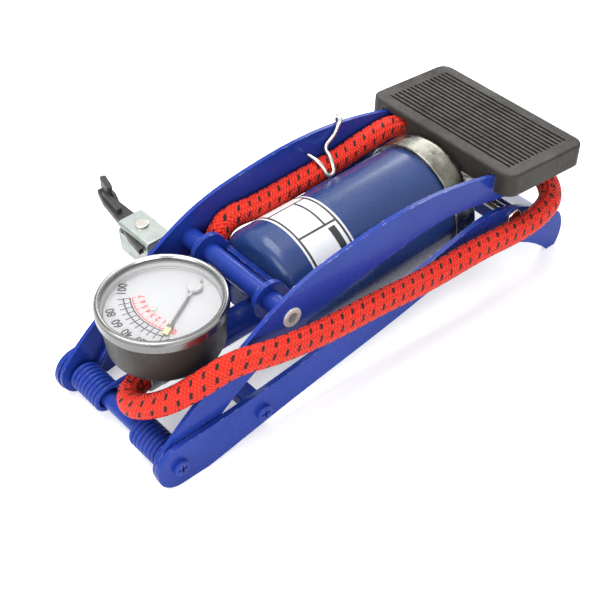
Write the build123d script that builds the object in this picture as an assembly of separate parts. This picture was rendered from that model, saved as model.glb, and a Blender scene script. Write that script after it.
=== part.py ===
"""Single-barrel foot air pump, folded flat, with pressure gauge, braided hose and valve chuck.

Lengths are in millimetres. X runs across the pump, Y from the hinge end to the pedal end, Z up.
The origin is the bottom centre of the pump without its hose. Side outlines are drawn in
(y, z) pairs measured from the hinge line, so every outline reads from the same place.
"""
from build123d import *
import math
import os

# ----------------------------------------------------------------------------------------
# Driving dimensions
# ----------------------------------------------------------------------------------------
# Hinge line and the steel strips
rail_end_radius = 11.0        # round nose of each base rail, resting on the floor
rail_thickness = 2.5
rail_outer_x = 39.5           # half width over the two rails
arm_thickness = 2.0
arm_rail_gap = 0.5            # side play between an arm and its rail
arm_end_radius = 10.5
pedal_rear_reach = 237.0      # hinge line to the rear edge of the pedal
overall_length = rail_end_radius + pedal_rear_reach
hinge_y = rail_end_radius - overall_length / 2
hinge_z = rail_end_radius
rail_inner_x = rail_outer_x - rail_thickness
arm_outer_x = rail_inner_x - arm_rail_gap
arm_inner_x = arm_outer_x - arm_thickness

# Fits
running_clearance = 0.05      # radial, pins in bores
screw_clearance = 0.15        # radial, shanks in clearance holes
soft_gap = 0.3                # around soft pieces

# Hinge rod, springs and front bar
hinge_rod_radius = 4.0
hinge_screw_radius = 2.4
hinge_screw_depth = 11.0
screw_head_radius = 3.8
screw_head_height = 2.2
spring_wire_radius = 1.25
spring_mean_radius = 6.2
spring_pitch = 2.6
spring_whole_turns = 7
spring_arm_gap = 0.6
spring_leg_y = 48.0           # tip of the leg that lies on the front bar
spring_hook = (16.5, 22.0)    # where the other leg hooks into the arm
front_bar_yz = (44.5, 12.5)
front_bar_width = 9.0
front_bar_height = 6.0
bar_screw_radius = 2.0
bar_screw_depth = 9.0

# Rear pin and cross plate
rear_pin_yz = (198.0, 36.2)
rear_pin_radius = 2.5
pin_head_radius = 4.2
pin_head_height = 1.6
plate_thickness = 2.2
plate_notch_half_width = 10.0

# Lever
cross_tube_yz = (65.2, 52.9)
cross_tube_radius = 4.75
cross_tube_wall = 1.5
tube_rivet_flange_radius = 4.7
tube_rivet_flange = 0.8
tube_rivet_wall = 0.7
tube_rivet_length = 9.0
flange_width = 3.5            # stiffening flange along the lower edge of each arm
flange_span = (26.0, 50.0)

# Pedal
pedal_width = 93.5
pedal_depth = 51.5
pedal_front_z = 68.3
pedal_tilt = 5.2              # degrees, rear edge lower
pedal_slab = 3.2
pedal_skirt_depth = 8.0
pedal_skirt_wall = 2.2
pedal_corner_radius = 6.0
pedal_edge_radius = 1.2
groove_count = 15
groove_width = 1.4
groove_depth = 1.0
groove_margin = 7.0
bridge_thickness = 2.0
bridge_tab_height = 9.0
bridge_tongue_half_width = 20.0
bridge_front = 3.5            # tongue front edge, from the pedal's front edge
bridge_step = 17.5            # where the bridge widens to reach the arms
bridge_rear = 30.5
pad_post_height = 1.6         # pads under the slab that sit on the bridge
pedal_screw_radius = 1.7
bridge_rivet_radius = 2.0
bridge_rivet_head = 3.6
bridge_rivet_head_height = 1.2

# Barrel and its cap
barrel_radius = 28.7
barrel_wall = 1.2
barrel_front = 76.0
barrel_rear = 181.4
barrel_edge_radius = 6.0
barrel_axis_z = rear_pin_yz[1]
cap_front = 169.6
cap_rear = 183.6
cap_radius = 30.9
cap_plate = 2.0
cap_lip_radius = 0.7
cap_edge_radius = 4.0
bush_radius = 6.0
bush_flange_radius = 8.5
bush_flange = 1.4
bush_length = 12.0
label_front = 90.2
label_rear = 114.8
label_thickness = 0.15
label_half_angle = 74.0
bracket_thickness = 2.5
bracket_half_width = 22.5
bracket_bottom_z = 18.0
bracket_lug_radius = 9.0

# Piston
piston_rod_radius = 4.0
piston_front = 82.0
piston_length = 9.0
piston_plate_radius = 22.0
piston_plate = 1.6
piston_nut_radius = 7.0
piston_nut_height = 4.0
eye_clearance = 4.4           # the linkage is opened at this pivot
eye_wall = 2.6
eye_width = 9.0

# Outlet and gauge
tee_z = 26.0
tee_radius = 7.2
tee_front = 18.0
tee_flange_radius = 10.0
tee_flange = 3.0
tee_bore_radius = 2.2
valve_disc_radius = 5.0
valve_disc_thickness = 1.6
ferrule_radius = 7.0
ferrule_length = 7.0
gauge_y = 25.4
gauge_bottom_z = 39.2
gauge_top_z = 64.2
bezel_radius = 28.5
bezel_height = 6.0
bezel_opening_radius = 25.6
bezel_lip = 1.0
case_top_radius = 27.2
case_bottom_radius = 25.8
case_wall = 1.8
case_edge_radius = 2.0
lens_thickness = 1.8
dial_gap = 3.6                # dial face to the underside of the lens
dial_thickness = 0.8
dial_screw_radius = 1.6
dial_screw_x = 7.0
dial_screw_offset = 3.6
stem_radius = 4.5
stem_hex = 13.0
stem_hex_height = 3.2
needle_pivot_offset = 17.0    # the needle turns off centre, towards the pedal
needle_length = 30.0
needle_thickness = 0.5
needle_width = 0.9
needle_hub_radius = 3.2
needle_rest_angle = 29.0      # degrees from the centre line, at zero
needle_lift = 1.0             # above the dial
arbor_radius = 0.9

# Hose, its wire keeper and the chuck
hose_radius = 5.5
keeper_wire_radius = 1.0
chuck_end = (-50.0, 61.5, 31.2)   # where the hose meets the chuck's neck
chuck_neck_radius = 6.6
chuck_neck_length = 5.0
chuck_body_length = 24.5
chuck_half_width = 7.5
chuck_bottom = 8.0
chuck_top = 10.0
chuck_corner_radius = 2.0
chuck_bore_radius = 4.1       # takes a car valve stem
chuck_bore_depth = 5.0         # open depth in front of the seal
chuck_air_radius = 1.5
chuck_seal_radius = 4.5        # the seal sits in a groove behind the bore
chuck_seal_thickness = 3.5
chuck_seal_bore = 2.4
chuck_pin_from_mouth = 10.4
chuck_pin_radius = 1.5
chuck_pin_head = 3.4
chuck_pin_head_height = 1.1
chuck_cheek = 1.8
chuck_lever_thickness = 3.0
chuck_slot_play = 0.25
chuck_slot_end = 17.5         # depth of the lever slot from the mouth
chuck_thumb_height = 10.0
chuck_web_height = 6.4
chuck_thumb_clearance = 0.4    # between the thumb piece and the way into the bore


# ----------------------------------------------------------------------------------------
# Helpers
# ----------------------------------------------------------------------------------------
def side_plane(x):
    """Plane whose local axes are (y from the hinge line, z), extruding towards +X."""
    return Plane(origin=(x, hinge_y, 0), x_dir=(0, 1, 0), z_dir=(1, 0, 0))


def axial_plane(y, z, x=0.0):
    """Plane across the barrel's direction, extruding towards the pedal."""
    return Plane(origin=(x, hinge_y + y, z), x_dir=(1, 0, 0), z_dir=(0, 1, 0))


def across_disc(yz, radius, x_start, x_end):
    """Round bar along X between two x values."""
    return extrude(side_plane(x_start) * Pos(*yz) * Circle(radius), x_end - x_start)


def axial_disc(radius, y_start, y_end, z, x=0.0):
    """Round bar along Y between two distances from the hinge line."""
    return extrude(axial_plane(y_start, z, x) * Circle(radius), y_end - y_start)


def side_plate(draw, x_start, thickness):
    """Plate drawn in the side plane by draw() and extruded towards +X."""
    with BuildPart() as plate:
        with BuildSketch(side_plane(x_start)):
            with BuildLine():
                draw()
            make_face()
        extrude(amount=thickness)
    return plate.part


def turned(points, axis_plane):
    """Revolve a closed (radius, height) outline about the plane's normal."""
    with BuildPart() as ring:
        with BuildSketch(Plane.XZ):
            with BuildLine():
                Polyline(*points, close=True)
            make_face()
        revolve(axis=Axis.Z)
    return axis_plane * ring.part


def other_side(shape):
    return mirror(shape, about=Plane.YZ)


def cross_recess(x, yz):
    """Cross slot cut into a screw head whose face lies at x."""
    slot = 0.9
    reach = 0.6 * screw_head_radius
    depth = 0.6 * screw_head_height
    bars = Rectangle(2 * reach, slot) + Rectangle(slot, 2 * reach)
    return extrude(side_plane(x - depth) * Pos(*yz) * bars, 2 * depth)


def pan_screw(yz, shank_radius, shank_length):
    """Pan head screw seated on the right rail's outer face."""
    head = across_disc(yz, screw_head_radius, rail_outer_x, rail_outer_x + screw_head_height)
    head = fillet(head.edges().filter_by(GeomType.CIRCLE).group_by(Axis.X)[-1], 0.9)
    shank = across_disc(yz, shank_radius, rail_outer_x - shank_length, rail_outer_x)
    return head + shank - cross_recess(rail_outer_x + screw_head_height, yz)


def export(shape, name):
    shape.label = name
    export_step(shape, os.path.join("parts", name + ".step"))


# ----------------------------------------------------------------------------------------
# Base
# ----------------------------------------------------------------------------------------
rail_toe = 14.0               # flat under the front of each rail
foot_front = 226.0            # flat under each rear foot
foot_length = 6.0


def rail_outline():
    nose_top = (0, hinge_z + rail_end_radius)
    ThreePointArc(nose_top, (-rail_end_radius, hinge_z), (0, 0))
    Line((0, 0), (rail_toe, 0))
    Spline((rail_toe, 0), (65, 8.8), (137, 20), (180, 24.6), (203, 17.4), (foot_front, 0))
    Line((foot_front, 0), (foot_front + foot_length, 0))
    heel = (foot_front + foot_length, 0)
    foot_tip = (foot_front + 6.5, 20.5)
    ThreePointArc(heel, (foot_front + 9.5, 9), foot_tip)
    Spline(foot_tip, (210, 35.6), (186, 45), (160, 42.4), (105, 31.6), (45, 24.2), nose_top)


def right_rail():
    rail = side_plate(rail_outline, rail_inner_x, rail_thickness)
    far = rail_outer_x + 1
    rail -= across_disc((0, hinge_z), hinge_screw_radius + screw_clearance, 0, far)
    rail -= across_disc(front_bar_yz, bar_screw_radius + screw_clearance, 0, far)
    return rail - across_disc(rear_pin_yz, rear_pin_radius + running_clearance, 0, far)


def rear_cross_plate():
    """Folded plate welded between the rails behind the rear pin, notched for the rod eye."""
    front, crest, tail = 203.0, 37.4, 226.0
    drop = 0.66 * (tail - front)
    lean = plate_thickness * 0.8

    def outline():
        Polyline(
            (front, 20.0),
            (front, crest),
            (tail, crest - drop),
            (tail - lean, crest - drop - lean),
            (front + plate_thickness, crest - 1.8 * lean),
            (front + plate_thickness, 20.0),
            close=True,
        )

    plate = side_plate(outline, -rail_inner_x, 2 * rail_inner_x)
    notch_end = 214.0
    notch_centre = hinge_y + (front + notch_end) / 2 - 1
    notch = Box(2 * plate_notch_half_width, notch_end - front + 2, 60)
    return plate - Pos(0, notch_centre, crest) * notch


def front_cross_bar():
    bar = Box(2 * rail_inner_x, front_bar_width, front_bar_height)
    bar = fillet(bar.edges().filter_by(Axis.X), 0.8)
    bar = Pos(0, hinge_y + front_bar_yz[0], front_bar_yz[1]) * bar
    tap = across_disc(front_bar_yz, bar_screw_radius, rail_inner_x - bar_screw_depth, rail_inner_x)
    return bar - tap - other_side(tap)


def hinge_rod():
    rod = across_disc((0, hinge_z), hinge_rod_radius, -rail_inner_x, rail_inner_x)
    tap_start = rail_inner_x - hinge_screw_depth
    tap = across_disc((0, hinge_z), hinge_screw_radius, tap_start, rail_inner_x)
    return rod - tap - other_side(tap)


def rear_pin():
    pin = across_disc(rear_pin_yz, rear_pin_radius, -rail_outer_x, rail_outer_x)
    head = across_disc(rear_pin_yz, pin_head_radius, rail_outer_x, rail_outer_x + pin_head_height)
    head = fillet(head.edges().filter_by(GeomType.CIRCLE).group_by(Axis.X)[-1], 1.0)
    return pin + head + other_side(head)


def bar_between(start, end, radius=spring_wire_radius):
    """Round wire with domed ends between two points."""
    line = Vector(*end) - Vector(*start)
    body = extrude(Plane(origin=start, z_dir=line) * Circle(radius), line.length)
    return body + Pos(*start) * Sphere(radius) + Pos(*end) * Sphere(radius)


def torsion_spring():
    """Right-hand spring: one leg back on the front bar, coils, one leg hooked in the arm."""
    outer_x = arm_inner_x - spring_arm_gap - spring_wire_radius
    reach = math.hypot(spring_hook[0], spring_hook[1] - hinge_z)
    aim = math.atan2(spring_hook[1] - hinge_z, spring_hook[0])
    leave = aim - math.acos(spring_mean_radius / reach)
    turns = spring_whole_turns + (leave - math.radians(90)) / math.tau + 1
    length = turns * spring_pitch
    inner_x = outer_x - length
    line = Helix(spring_pitch, length, spring_mean_radius)
    coil = sweep(Plane(line @ 0, z_dir=line % 0) * Circle(spring_wire_radius), path=line)
    coil = side_plane(inner_x).location * Pos(0, hinge_z, 0) * Rot(0, 0, 90) * coil
    top = hinge_z + spring_mean_radius
    bar_leg = bar_between((inner_x, hinge_y, top), (inner_x, hinge_y + spring_leg_y, top))
    start_y = hinge_y + spring_mean_radius * math.cos(leave)
    start_z = hinge_z + spring_mean_radius * math.sin(leave)
    hook_y = hinge_y + spring_hook[0]
    leg = bar_between((outer_x, start_y, start_z), (outer_x, hook_y, spring_hook[1]))
    tip = (arm_outer_x - spring_wire_radius + 0.2, hook_y, spring_hook[1])
    hook = bar_between((outer_x, hook_y, spring_hook[1]), tip)
    return coil + bar_leg + leg + hook


# ----------------------------------------------------------------------------------------
# Lever
# ----------------------------------------------------------------------------------------
arm_heel = (7.2, 3.3)         # where the lower edge leaves the round end
arm_brow = (-7.5, 18.4)       # where the upper edge leaves it
arm_rear = 218.0


def arm_outline():
    ThreePointArc(arm_brow, (-arm_end_radius, hinge_z), (-5.5, 2.05))
    ThreePointArc((-5.5, 2.05), (0, hinge_z - arm_end_radius), arm_heel)
    Spline(arm_heel, (34, 28.5), (60, 41), (95, 49.8), (126, 54.3), (157, 56), (191, 49), (210, 45.6))
    ThreePointArc((210, 45.6), (arm_rear - 1.4, 49.5), (arm_rear, 55))
    Line((arm_rear, 55), (arm_rear, 61.2))
    Line((arm_rear, 61.2), (186, 64.3))
    crown = ((170, 68.8), (150, 72.6), (125, 74.2), (98, 72.4), (75, 68.6), (56, 61.2))
    Spline((186, 64.3), *crown, (36, 49.5), (14.8, 36.5), arm_brow)


def arm_blank(x_start, thickness):
    return side_plate(arm_outline, x_start, thickness)


def right_arm():
    arm = arm_blank(arm_inner_x, arm_thickness)
    strip = arm_blank(arm_inner_x - flange_width, flange_width)
    strip -= Pos(0, -0.9, 2.0) * strip
    span = flange_span[1] - flange_span[0]
    window = Box(20, span, 60)
    strip &= Pos(arm_inner_x, hinge_y + flange_span[0] + span / 2, 25) * window
    arm += strip
    far = rail_outer_x
    arm -= across_disc((0, hinge_z), hinge_rod_radius + running_clearance, 0, far)
    arm -= across_disc(spring_hook, spring_wire_radius + soft_gap, 0, far)
    arm -= across_disc(cross_tube_yz, cross_tube_radius - cross_tube_wall, 0, far)
    for yz in bridge_rivet_places:
        arm -= across_disc(yz, bridge_rivet_radius, 0, far)
    return arm


def cross_tube():
    tube = across_disc(cross_tube_yz, cross_tube_radius, -arm_inner_x, arm_inner_x)
    bore = cross_tube_radius - cross_tube_wall
    return tube - across_disc(cross_tube_yz, bore, -arm_inner_x, arm_inner_x)


def tube_rivet():
    """Hollow rivet through the right arm into the end of the cross tube."""
    outer = cross_tube_radius - cross_tube_wall
    inner = outer - tube_rivet_wall
    flange_x = arm_outer_x + tube_rivet_flange
    body = across_disc(cross_tube_yz, outer, flange_x - tube_rivet_length, flange_x)
    flange = across_disc(cross_tube_yz, tube_rivet_flange_radius, arm_outer_x, flange_x)
    flange = fillet(flange.edges().filter_by(GeomType.CIRCLE).group_by(Axis.X)[-1], 0.5)
    return body + flange - across_disc(cross_tube_yz, inner, 0, flange_x + 1)


# ----------------------------------------------------------------------------------------
# Pedal
# ----------------------------------------------------------------------------------------
pad_underside = pedal_slab
bridge_top = pedal_slab + pad_post_height
bridge_mid = (bridge_step + bridge_rear) / 2
tilt_sin = math.sin(math.radians(pedal_tilt))
tilt_cos = math.cos(math.radians(pedal_tilt))
tilted_reach = (pedal_depth - pedal_edge_radius) * tilt_cos + pedal_edge_radius * (1 - tilt_sin)
pedal_front = pedal_rear_reach - tilted_reach


def pedal_point(depth, drop):
    """(y, z) of a point so far behind the pad's front edge and so far below its top."""
    y = pedal_front + depth * tilt_cos - drop * tilt_sin
    z = pedal_front_z - depth * tilt_sin - drop * tilt_cos
    return (y, z)


bridge_rivet_places = [pedal_point(bridge_mid - 4, bridge_top + 6), pedal_point(bridge_mid + 4, bridge_top + 6)]


def on_pedal(shape):
    """Move a shape drawn with y back from the front edge and z up from the pad's top."""
    return Pos(0, hinge_y + pedal_front, pedal_front_z) * (Rot(-pedal_tilt, 0, 0) * shape)


def slab(width, depth, top, bottom, front=0.0):
    """Flat box on the pedal: full width, from front edge, between two drops."""
    return Pos(0, front + depth / 2, -(top + bottom) / 2) * Box(width, depth, bottom - top)


def pedal_pad():
    """Ribbed plastic tread with a skirt, stiffening posts and cut-outs for the arms."""
    full = pedal_slab + pedal_skirt_depth
    pad = slab(pedal_width, pedal_depth, 0, full)
    pad = fillet(pad.edges().filter_by(Axis.Z), pedal_corner_radius)
    pad = fillet(pad.faces().sort_by(Axis.Z)[-1].edges(), pedal_edge_radius)
    inner_width = pedal_width - 2 * pedal_skirt_wall
    inner_depth = pedal_depth - 2 * pedal_skirt_wall
    hollow = slab(inner_width, inner_depth, pedal_slab, full + 1, pedal_skirt_wall)
    inner_radius = pedal_corner_radius - pedal_skirt_wall
    pad -= fillet(hollow.edges().filter_by(Axis.Z), inner_radius)
    for x in (-bridge_screw_x, bridge_screw_x):
        for y in bridge_screw_y:
            pad += Pos(x, y, -(pedal_slab + bridge_top) / 2) * Cylinder(3.4, pad_post_height)
    pitch = (pedal_depth - 2 * groove_margin) / (groove_count - 1)
    for i in range(groove_count):
        y = groove_margin + i * pitch
        groove = Box(pedal_width - 2 * groove_margin, groove_width, 2 * groove_depth)
        pad -= Pos(0, y, 0) * fillet(groove.edges().filter_by(Axis.Z), 0.6)
    for x in (-arm_outer_x + arm_thickness / 2, arm_outer_x - arm_thickness / 2):
        notch = slab(arm_thickness + 2.4, 8, pedal_slab, full + 1, -2)
        pad -= Pos(x, 0, 0) * notch
    hose_notch = slab(16, 8, pedal_slab, full + 1, -2)
    pad -= Pos(-hose_side_x, 0, 0) * hose_notch
    for x in (-bridge_screw_x, bridge_screw_x):
        for y in bridge_screw_y:
            pad -= Pos(x, y, -bridge_top) * Cylinder(pedal_screw_radius, 2 * pedal_screw_bite)
    return on_pedal(pad)


bridge_screw_x = 14.0
bridge_screw_y = (9.0, 25.0)
pedal_screw_bite = 3.6
pedal_screw_head = 3.0
pedal_screw_head_height = 1.4
hose_side_x = 28.7


def pedal_bridge():
    """T shaped plate under the pad with a turned-down tab riveted inside each arm."""
    bottom = bridge_top + bridge_thickness
    tongue = slab(2 * bridge_tongue_half_width, bridge_rear - bridge_front, bridge_top, bottom, bridge_front)
    wide_depth = bridge_rear - bridge_step
    wide = slab(2 * arm_inner_x, wide_depth, bridge_top, bottom, bridge_step)
    bridge = tongue + wide
    tab_x = arm_inner_x - bridge_thickness / 2
    for x in (-tab_x, tab_x):
        tab = slab(bridge_thickness, wide_depth, bridge_top, bridge_top + bridge_tab_height, bridge_step)
        bridge += Pos(x, 0, 0) * tab
    for x in (-bridge_screw_x, bridge_screw_x):
        for y in bridge_screw_y:
            bridge -= Pos(x, y, -bottom) * Cylinder(pedal_screw_radius + screw_clearance, 20)
    bridge = on_pedal(bridge)
    for yz in bridge_rivet_places:
        bridge -= across_disc(yz, bridge_rivet_radius, -arm_outer_x, arm_outer_x)
    return bridge


def pedal_screws():
    screws = []
    bottom = bridge_top + bridge_thickness
    for x in (-bridge_screw_x, bridge_screw_x):
        for y in bridge_screw_y:
            length = bridge_thickness + pedal_screw_bite
            shank = Pos(x, y, -bottom + length / 2) * Cylinder(pedal_screw_radius, length)
            head = Cylinder(pedal_screw_head, pedal_screw_head_height)
            head = Pos(x, y, -bottom - pedal_screw_head_height / 2) * head
            screws.append(on_pedal(shank + head))
    return Compound(children=screws)


def bridge_rivets():
    rivets = []
    for yz in bridge_rivet_places:
        inner = arm_inner_x - bridge_thickness
        head = across_disc(yz, bridge_rivet_head, arm_outer_x, arm_outer_x + bridge_rivet_head_height)
        head = fillet(head.edges().filter_by(GeomType.CIRCLE).group_by(Axis.X)[-1], 0.9)
        tail = across_disc(yz, bridge_rivet_radius + 0.8, inner - 0.9, inner)
        rivet = head + across_disc(yz, bridge_rivet_radius, inner, arm_outer_x) + tail
        rivets += [rivet, other_side(rivet)]
    return Compound(children=rivets)


# ----------------------------------------------------------------------------------------
# Cylinder
# ----------------------------------------------------------------------------------------
def barrel():
    """Deep drawn cup, closed at the hinge end."""
    outer = axial_disc(barrel_radius, barrel_front, barrel_rear, barrel_axis_z)
    front_edge = outer.edges().filter_by(GeomType.CIRCLE).sort_by(Axis.Y)[0]
    outer = fillet(front_edge, barrel_edge_radius)
    inner = axial_disc(barrel_radius - barrel_wall, barrel_front + barrel_wall, barrel_rear, barrel_axis_z)
    front_edge = inner.edges().filter_by(GeomType.CIRCLE).sort_by(Axis.Y)[0]
    inner = fillet(front_edge, barrel_edge_radius - barrel_wall)
    port = axial_disc(tee_thread_radius, barrel_front - 1, barrel_front + 5, tee_z)
    return outer - inner - port


tee_thread_radius = 5.0


def end_cap():
    """Plated cap pressed over the rear of the barrel, with a rolled lip and a domed edge."""
    grip = barrel_radius + 0.1
    outer = axial_disc(cap_radius, cap_front, cap_rear, barrel_axis_z)
    rim = outer.edges().filter_by(GeomType.CIRCLE).sort_by(Axis.Y)
    outer = fillet(rim[-1], cap_edge_radius)
    rim = outer.edges().filter_by(GeomType.CIRCLE).sort_by(Axis.Y)
    outer = fillet(rim[0], cap_lip_radius)
    inner = axial_disc(grip, cap_front - 1, cap_rear - cap_plate, barrel_axis_z)
    hole = axial_disc(bush_radius, cap_rear - 10, cap_rear + 1, barrel_axis_z)
    return outer - inner - hole


def guide_bush():
    front = cap_rear + bush_flange - bush_length
    body = axial_disc(bush_radius, front, cap_rear + bush_flange, barrel_axis_z)
    body += axial_disc(bush_flange_radius, cap_rear, cap_rear + bush_flange, barrel_axis_z)
    bore = axial_disc(piston_rod_radius + running_clearance, front - 1, cap_rear + 10, barrel_axis_z)
    return body - bore


def cylinder_label():
    """Thin wrap over the top of the barrel."""
    inside = barrel_radius
    band = axial_disc(inside + label_thickness, label_front, label_rear, barrel_axis_z)
    band -= axial_disc(inside, label_front - 1, label_rear + 1, barrel_axis_z)
    half = math.radians(label_half_angle)
    far = 60.0
    with BuildPart() as wedge:
        with BuildSketch(axial_plane(label_front - 1, barrel_axis_z)):
            with BuildLine():
                # the plane's second axis points down, so the wedge opens upwards at minus
                edge_x = far * math.sin(half)
                edge_z = -far * math.cos(half)
                Polyline((0, 0), (edge_x, edge_z), (edge_x, -far), (-edge_x, -far), (-edge_x, edge_z), close=True)
            make_face()
        extrude(amount=label_rear - label_front + 2)
    return band & wedge.part


def barrel_bracket():
    """U bracket on the barrel's front, its two ears turning on the cross tube."""
    web_rear = barrel_front
    web_front = web_rear - bracket_thickness
    centre_y, centre_z = cross_tube_yz
    web_top = centre_z - 2
    height = web_top - bracket_bottom_z
    web = Box(2 * bracket_half_width, bracket_thickness, height)
    web_y = hinge_y + (web_front + web_rear) / 2
    bracket = Pos(0, web_y, bracket_bottom_z + height / 2) * web

    def ear():
        Polyline(
            (web_rear, bracket_bottom_z),
            (web_rear, centre_z),
            (centre_y, centre_z + bracket_lug_radius),
            (centre_y - bracket_lug_radius, centre_z),
            (web_front - 1, bracket_bottom_z + 8),
            (web_front - 1, bracket_bottom_z),
            close=True,
        )

    for x in (-bracket_half_width, bracket_half_width - bracket_thickness):
        side = side_plate(ear, x, bracket_thickness)
        side += across_disc(cross_tube_yz, bracket_lug_radius, x, x + bracket_thickness)
        bracket += side
    bore = cross_tube_radius + running_clearance
    bracket -= across_disc(cross_tube_yz, bore, -bracket_half_width - 1, bracket_half_width + 1)
    return bracket - axial_disc(tee_thread_radius, web_front - 2, web_rear + 1, tee_z)


# ----------------------------------------------------------------------------------------
# Outlet
# ----------------------------------------------------------------------------------------
boss_radius = 7.0
boss_top = gauge_bottom_z - stem_hex_height
valve_chamber_radius = 5.4
valve_chamber_length = 3.4
tee_shoulder = barrel_front - bracket_thickness


def outlet_tee():
    """Pipe from the barrel to the hose with a boss for the gauge and a valve chamber."""
    pipe = axial_disc(tee_radius, tee_front, tee_shoulder, tee_z)
    pipe += axial_disc(tee_flange_radius, tee_shoulder - tee_flange, tee_shoulder, tee_z)
    pipe += axial_disc(tee_thread_radius, tee_shoulder, barrel_front + barrel_wall, tee_z)
    boss = Pos(0, hinge_y + gauge_y, (tee_z + boss_top) / 2) * Cylinder(boss_radius, boss_top - tee_z)
    pipe += boss
    pipe -= axial_disc(tee_bore_radius, tee_front - 1, barrel_front + 5, tee_z)
    chamber_front = tee_shoulder - tee_flange - valve_chamber_length
    pipe -= axial_disc(valve_chamber_radius, chamber_front, chamber_front + valve_chamber_length, tee_z)
    socket_length = boss_top - tee_z
    socket = Cylinder(stem_radius, socket_length, align=(Align.CENTER, Align.CENTER, Align.MIN))
    return pipe - Pos(0, hinge_y + gauge_y, tee_z + 3) * socket


def valve_disc():
    rear = tee_shoulder - tee_flange
    return axial_disc(valve_disc_radius, rear - valve_disc_thickness - 0.05, rear - 0.05, tee_z)


def hose_ferrule():
    """Crimped sleeve around the hose where it meets the tee."""
    sleeve = axial_disc(ferrule_radius, tee_front - ferrule_length, tee_front, tee_z)
    edge = sleeve.edges().filter_by(GeomType.CIRCLE).sort_by(Axis.Y)[0]
    sleeve = fillet(edge, 0.6)
    return sleeve - axial_disc(hose_radius + 0.1, tee_front - ferrule_length - 1, tee_front + 1, tee_z)


# ----------------------------------------------------------------------------------------
# Gauge
# ----------------------------------------------------------------------------------------
def on_gauge(shape):
    return Pos(0, hinge_y + gauge_y, 0) * shape


bezel_bottom_z = gauge_top_z - bezel_height
lens_top_z = gauge_top_z - bezel_lip
lens_bottom_z = lens_top_z - lens_thickness
dial_top_z = lens_bottom_z - dial_gap
dial_bottom_z = dial_top_z - dial_thickness
bezel_inner_radius = case_top_radius + 0.1
movement_radius = 9.0
movement_bottom_z = gauge_bottom_z + case_wall + 2.4


def gauge_case():
    outline = [
        (stem_radius - 0.5 + screw_clearance, gauge_bottom_z),
        (case_bottom_radius - case_edge_radius, gauge_bottom_z),
        (case_bottom_radius - 0.3 * case_edge_radius, gauge_bottom_z + 0.3 * case_edge_radius),
        (case_bottom_radius, gauge_bottom_z + case_edge_radius),
        (case_top_radius, lens_bottom_z - 0.05),
        (case_top_radius - case_wall, lens_bottom_z - 0.05),
        (case_bottom_radius - case_wall, gauge_bottom_z + case_wall),
        (stem_radius - 0.5 + screw_clearance, gauge_bottom_z + case_wall),
    ]
    return on_gauge(turned(outline, Plane.XY.location))


def gauge_bezel():
    outline = [
        (bezel_inner_radius, bezel_bottom_z),
        (bezel_radius - 0.5, bezel_bottom_z),
        (bezel_radius, bezel_bottom_z + 0.8),
        (bezel_radius, gauge_top_z - 1.6),
        (bezel_radius - 0.5, gauge_top_z - 0.5),
        (bezel_radius - 1.4, gauge_top_z),
        (bezel_opening_radius + 0.4, gauge_top_z - 0.2),
        (bezel_opening_radius, lens_top_z + 0.05),
        (bezel_inner_radius, lens_top_z + 0.05),
    ]
    return on_gauge(turned(outline, Plane.XY.location))


def gauge_disc(radius, bottom, top):
    height = top - bottom
    return on_gauge(Pos(0, 0, bottom + height / 2) * Cylinder(radius, height))


def gauge_lens():
    return gauge_disc(bezel_inner_radius - 0.3, lens_bottom_z, lens_top_z)


def gauge_dial():
    dial = gauge_disc(case_top_radius - case_wall - 0.5, dial_bottom_z, dial_top_z)
    dial -= on_gauge(Pos(0, needle_pivot_offset, dial_top_z) * Cylinder(arbor_radius + 0.3, 6))
    for x, y in dial_screw_places:
        dial -= on_gauge(Pos(x, y, dial_top_z) * Cylinder(0.9, 6))
    return dial


dial_screw_places = [(dial_screw_x + 3.6, -dial_screw_offset), (dial_screw_x - 9.2, -dial_screw_offset + 0.6)]


def dial_screws():
    screws = []
    for x, y in dial_screw_places:
        head = Pos(x, y, dial_top_z + 0.35) * Cylinder(dial_screw_radius, 0.7)
        head = fillet(head.faces().sort_by(Axis.Z)[-1].edges(), 0.3)
        shank_length = dial_thickness + 3.0
        shank = Pos(x, y, dial_top_z - shank_length / 2) * Cylinder(0.9, shank_length)
        slot = Pos(x, y, dial_top_z + 0.7) * (Rot(0, 0, 35) * Box(4, 0.4, 0.5))
        screws.append(on_gauge(head + shank - slot))
    return Compound(children=screws)


def gauge_stem():
    """Hexagon stem from the tee into the case, with the block that carries the movement."""
    low = tee_z + 3
    neck = Pos(0, 0, (low + boss_top) / 2) * Cylinder(stem_radius, boss_top - low)
    flats = extrude(Plane.XY * RegularPolygon(stem_hex / 2, 6, major_radius=False), stem_hex_height)
    neck += Pos(0, 0, boss_top) * flats
    inner_height = movement_bottom_z - gauge_bottom_z
    neck += Pos(0, 0, gauge_bottom_z + inner_height / 2) * Cylinder(stem_radius - 0.5, inner_height)
    return on_gauge(neck - Pos(0, 0, low + 5) * Cylinder(1.2, 30))


def movement_block():
    """Frame between the stem and the dial: two plates on a post, and the needle's bearing."""
    top = dial_bottom_z
    post = Pos(0, 0, (movement_bottom_z + top) / 2) * Cylinder(5.0, top - movement_bottom_z)
    plate = Pos(1.0, 5, top - 1) * Box(24, 30, 2)
    block = post + plate
    block -= Pos(0, needle_pivot_offset, top) * Cylinder(arbor_radius + running_clearance, 8)
    for x, y in dial_screw_places:
        block -= Pos(x, y, top) * Cylinder(0.9, 10)
    return on_gauge(block)


def bourdon_tube():
    """Flattened spring tube curled round the movement."""
    ring = Cylinder(19.0, 6.0) - Cylinder(17.6, 7.0)
    gap = Pos(0, 19, 0) * Box(14, 20, 10)
    foot = Pos(0, -11.5, 0) * Box(4, 13.0, 4.0)
    centre_z = (movement_bottom_z + dial_bottom_z) / 2 - 1.4
    return on_gauge(Pos(0, 0, centre_z) * (ring - gap + foot))


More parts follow.
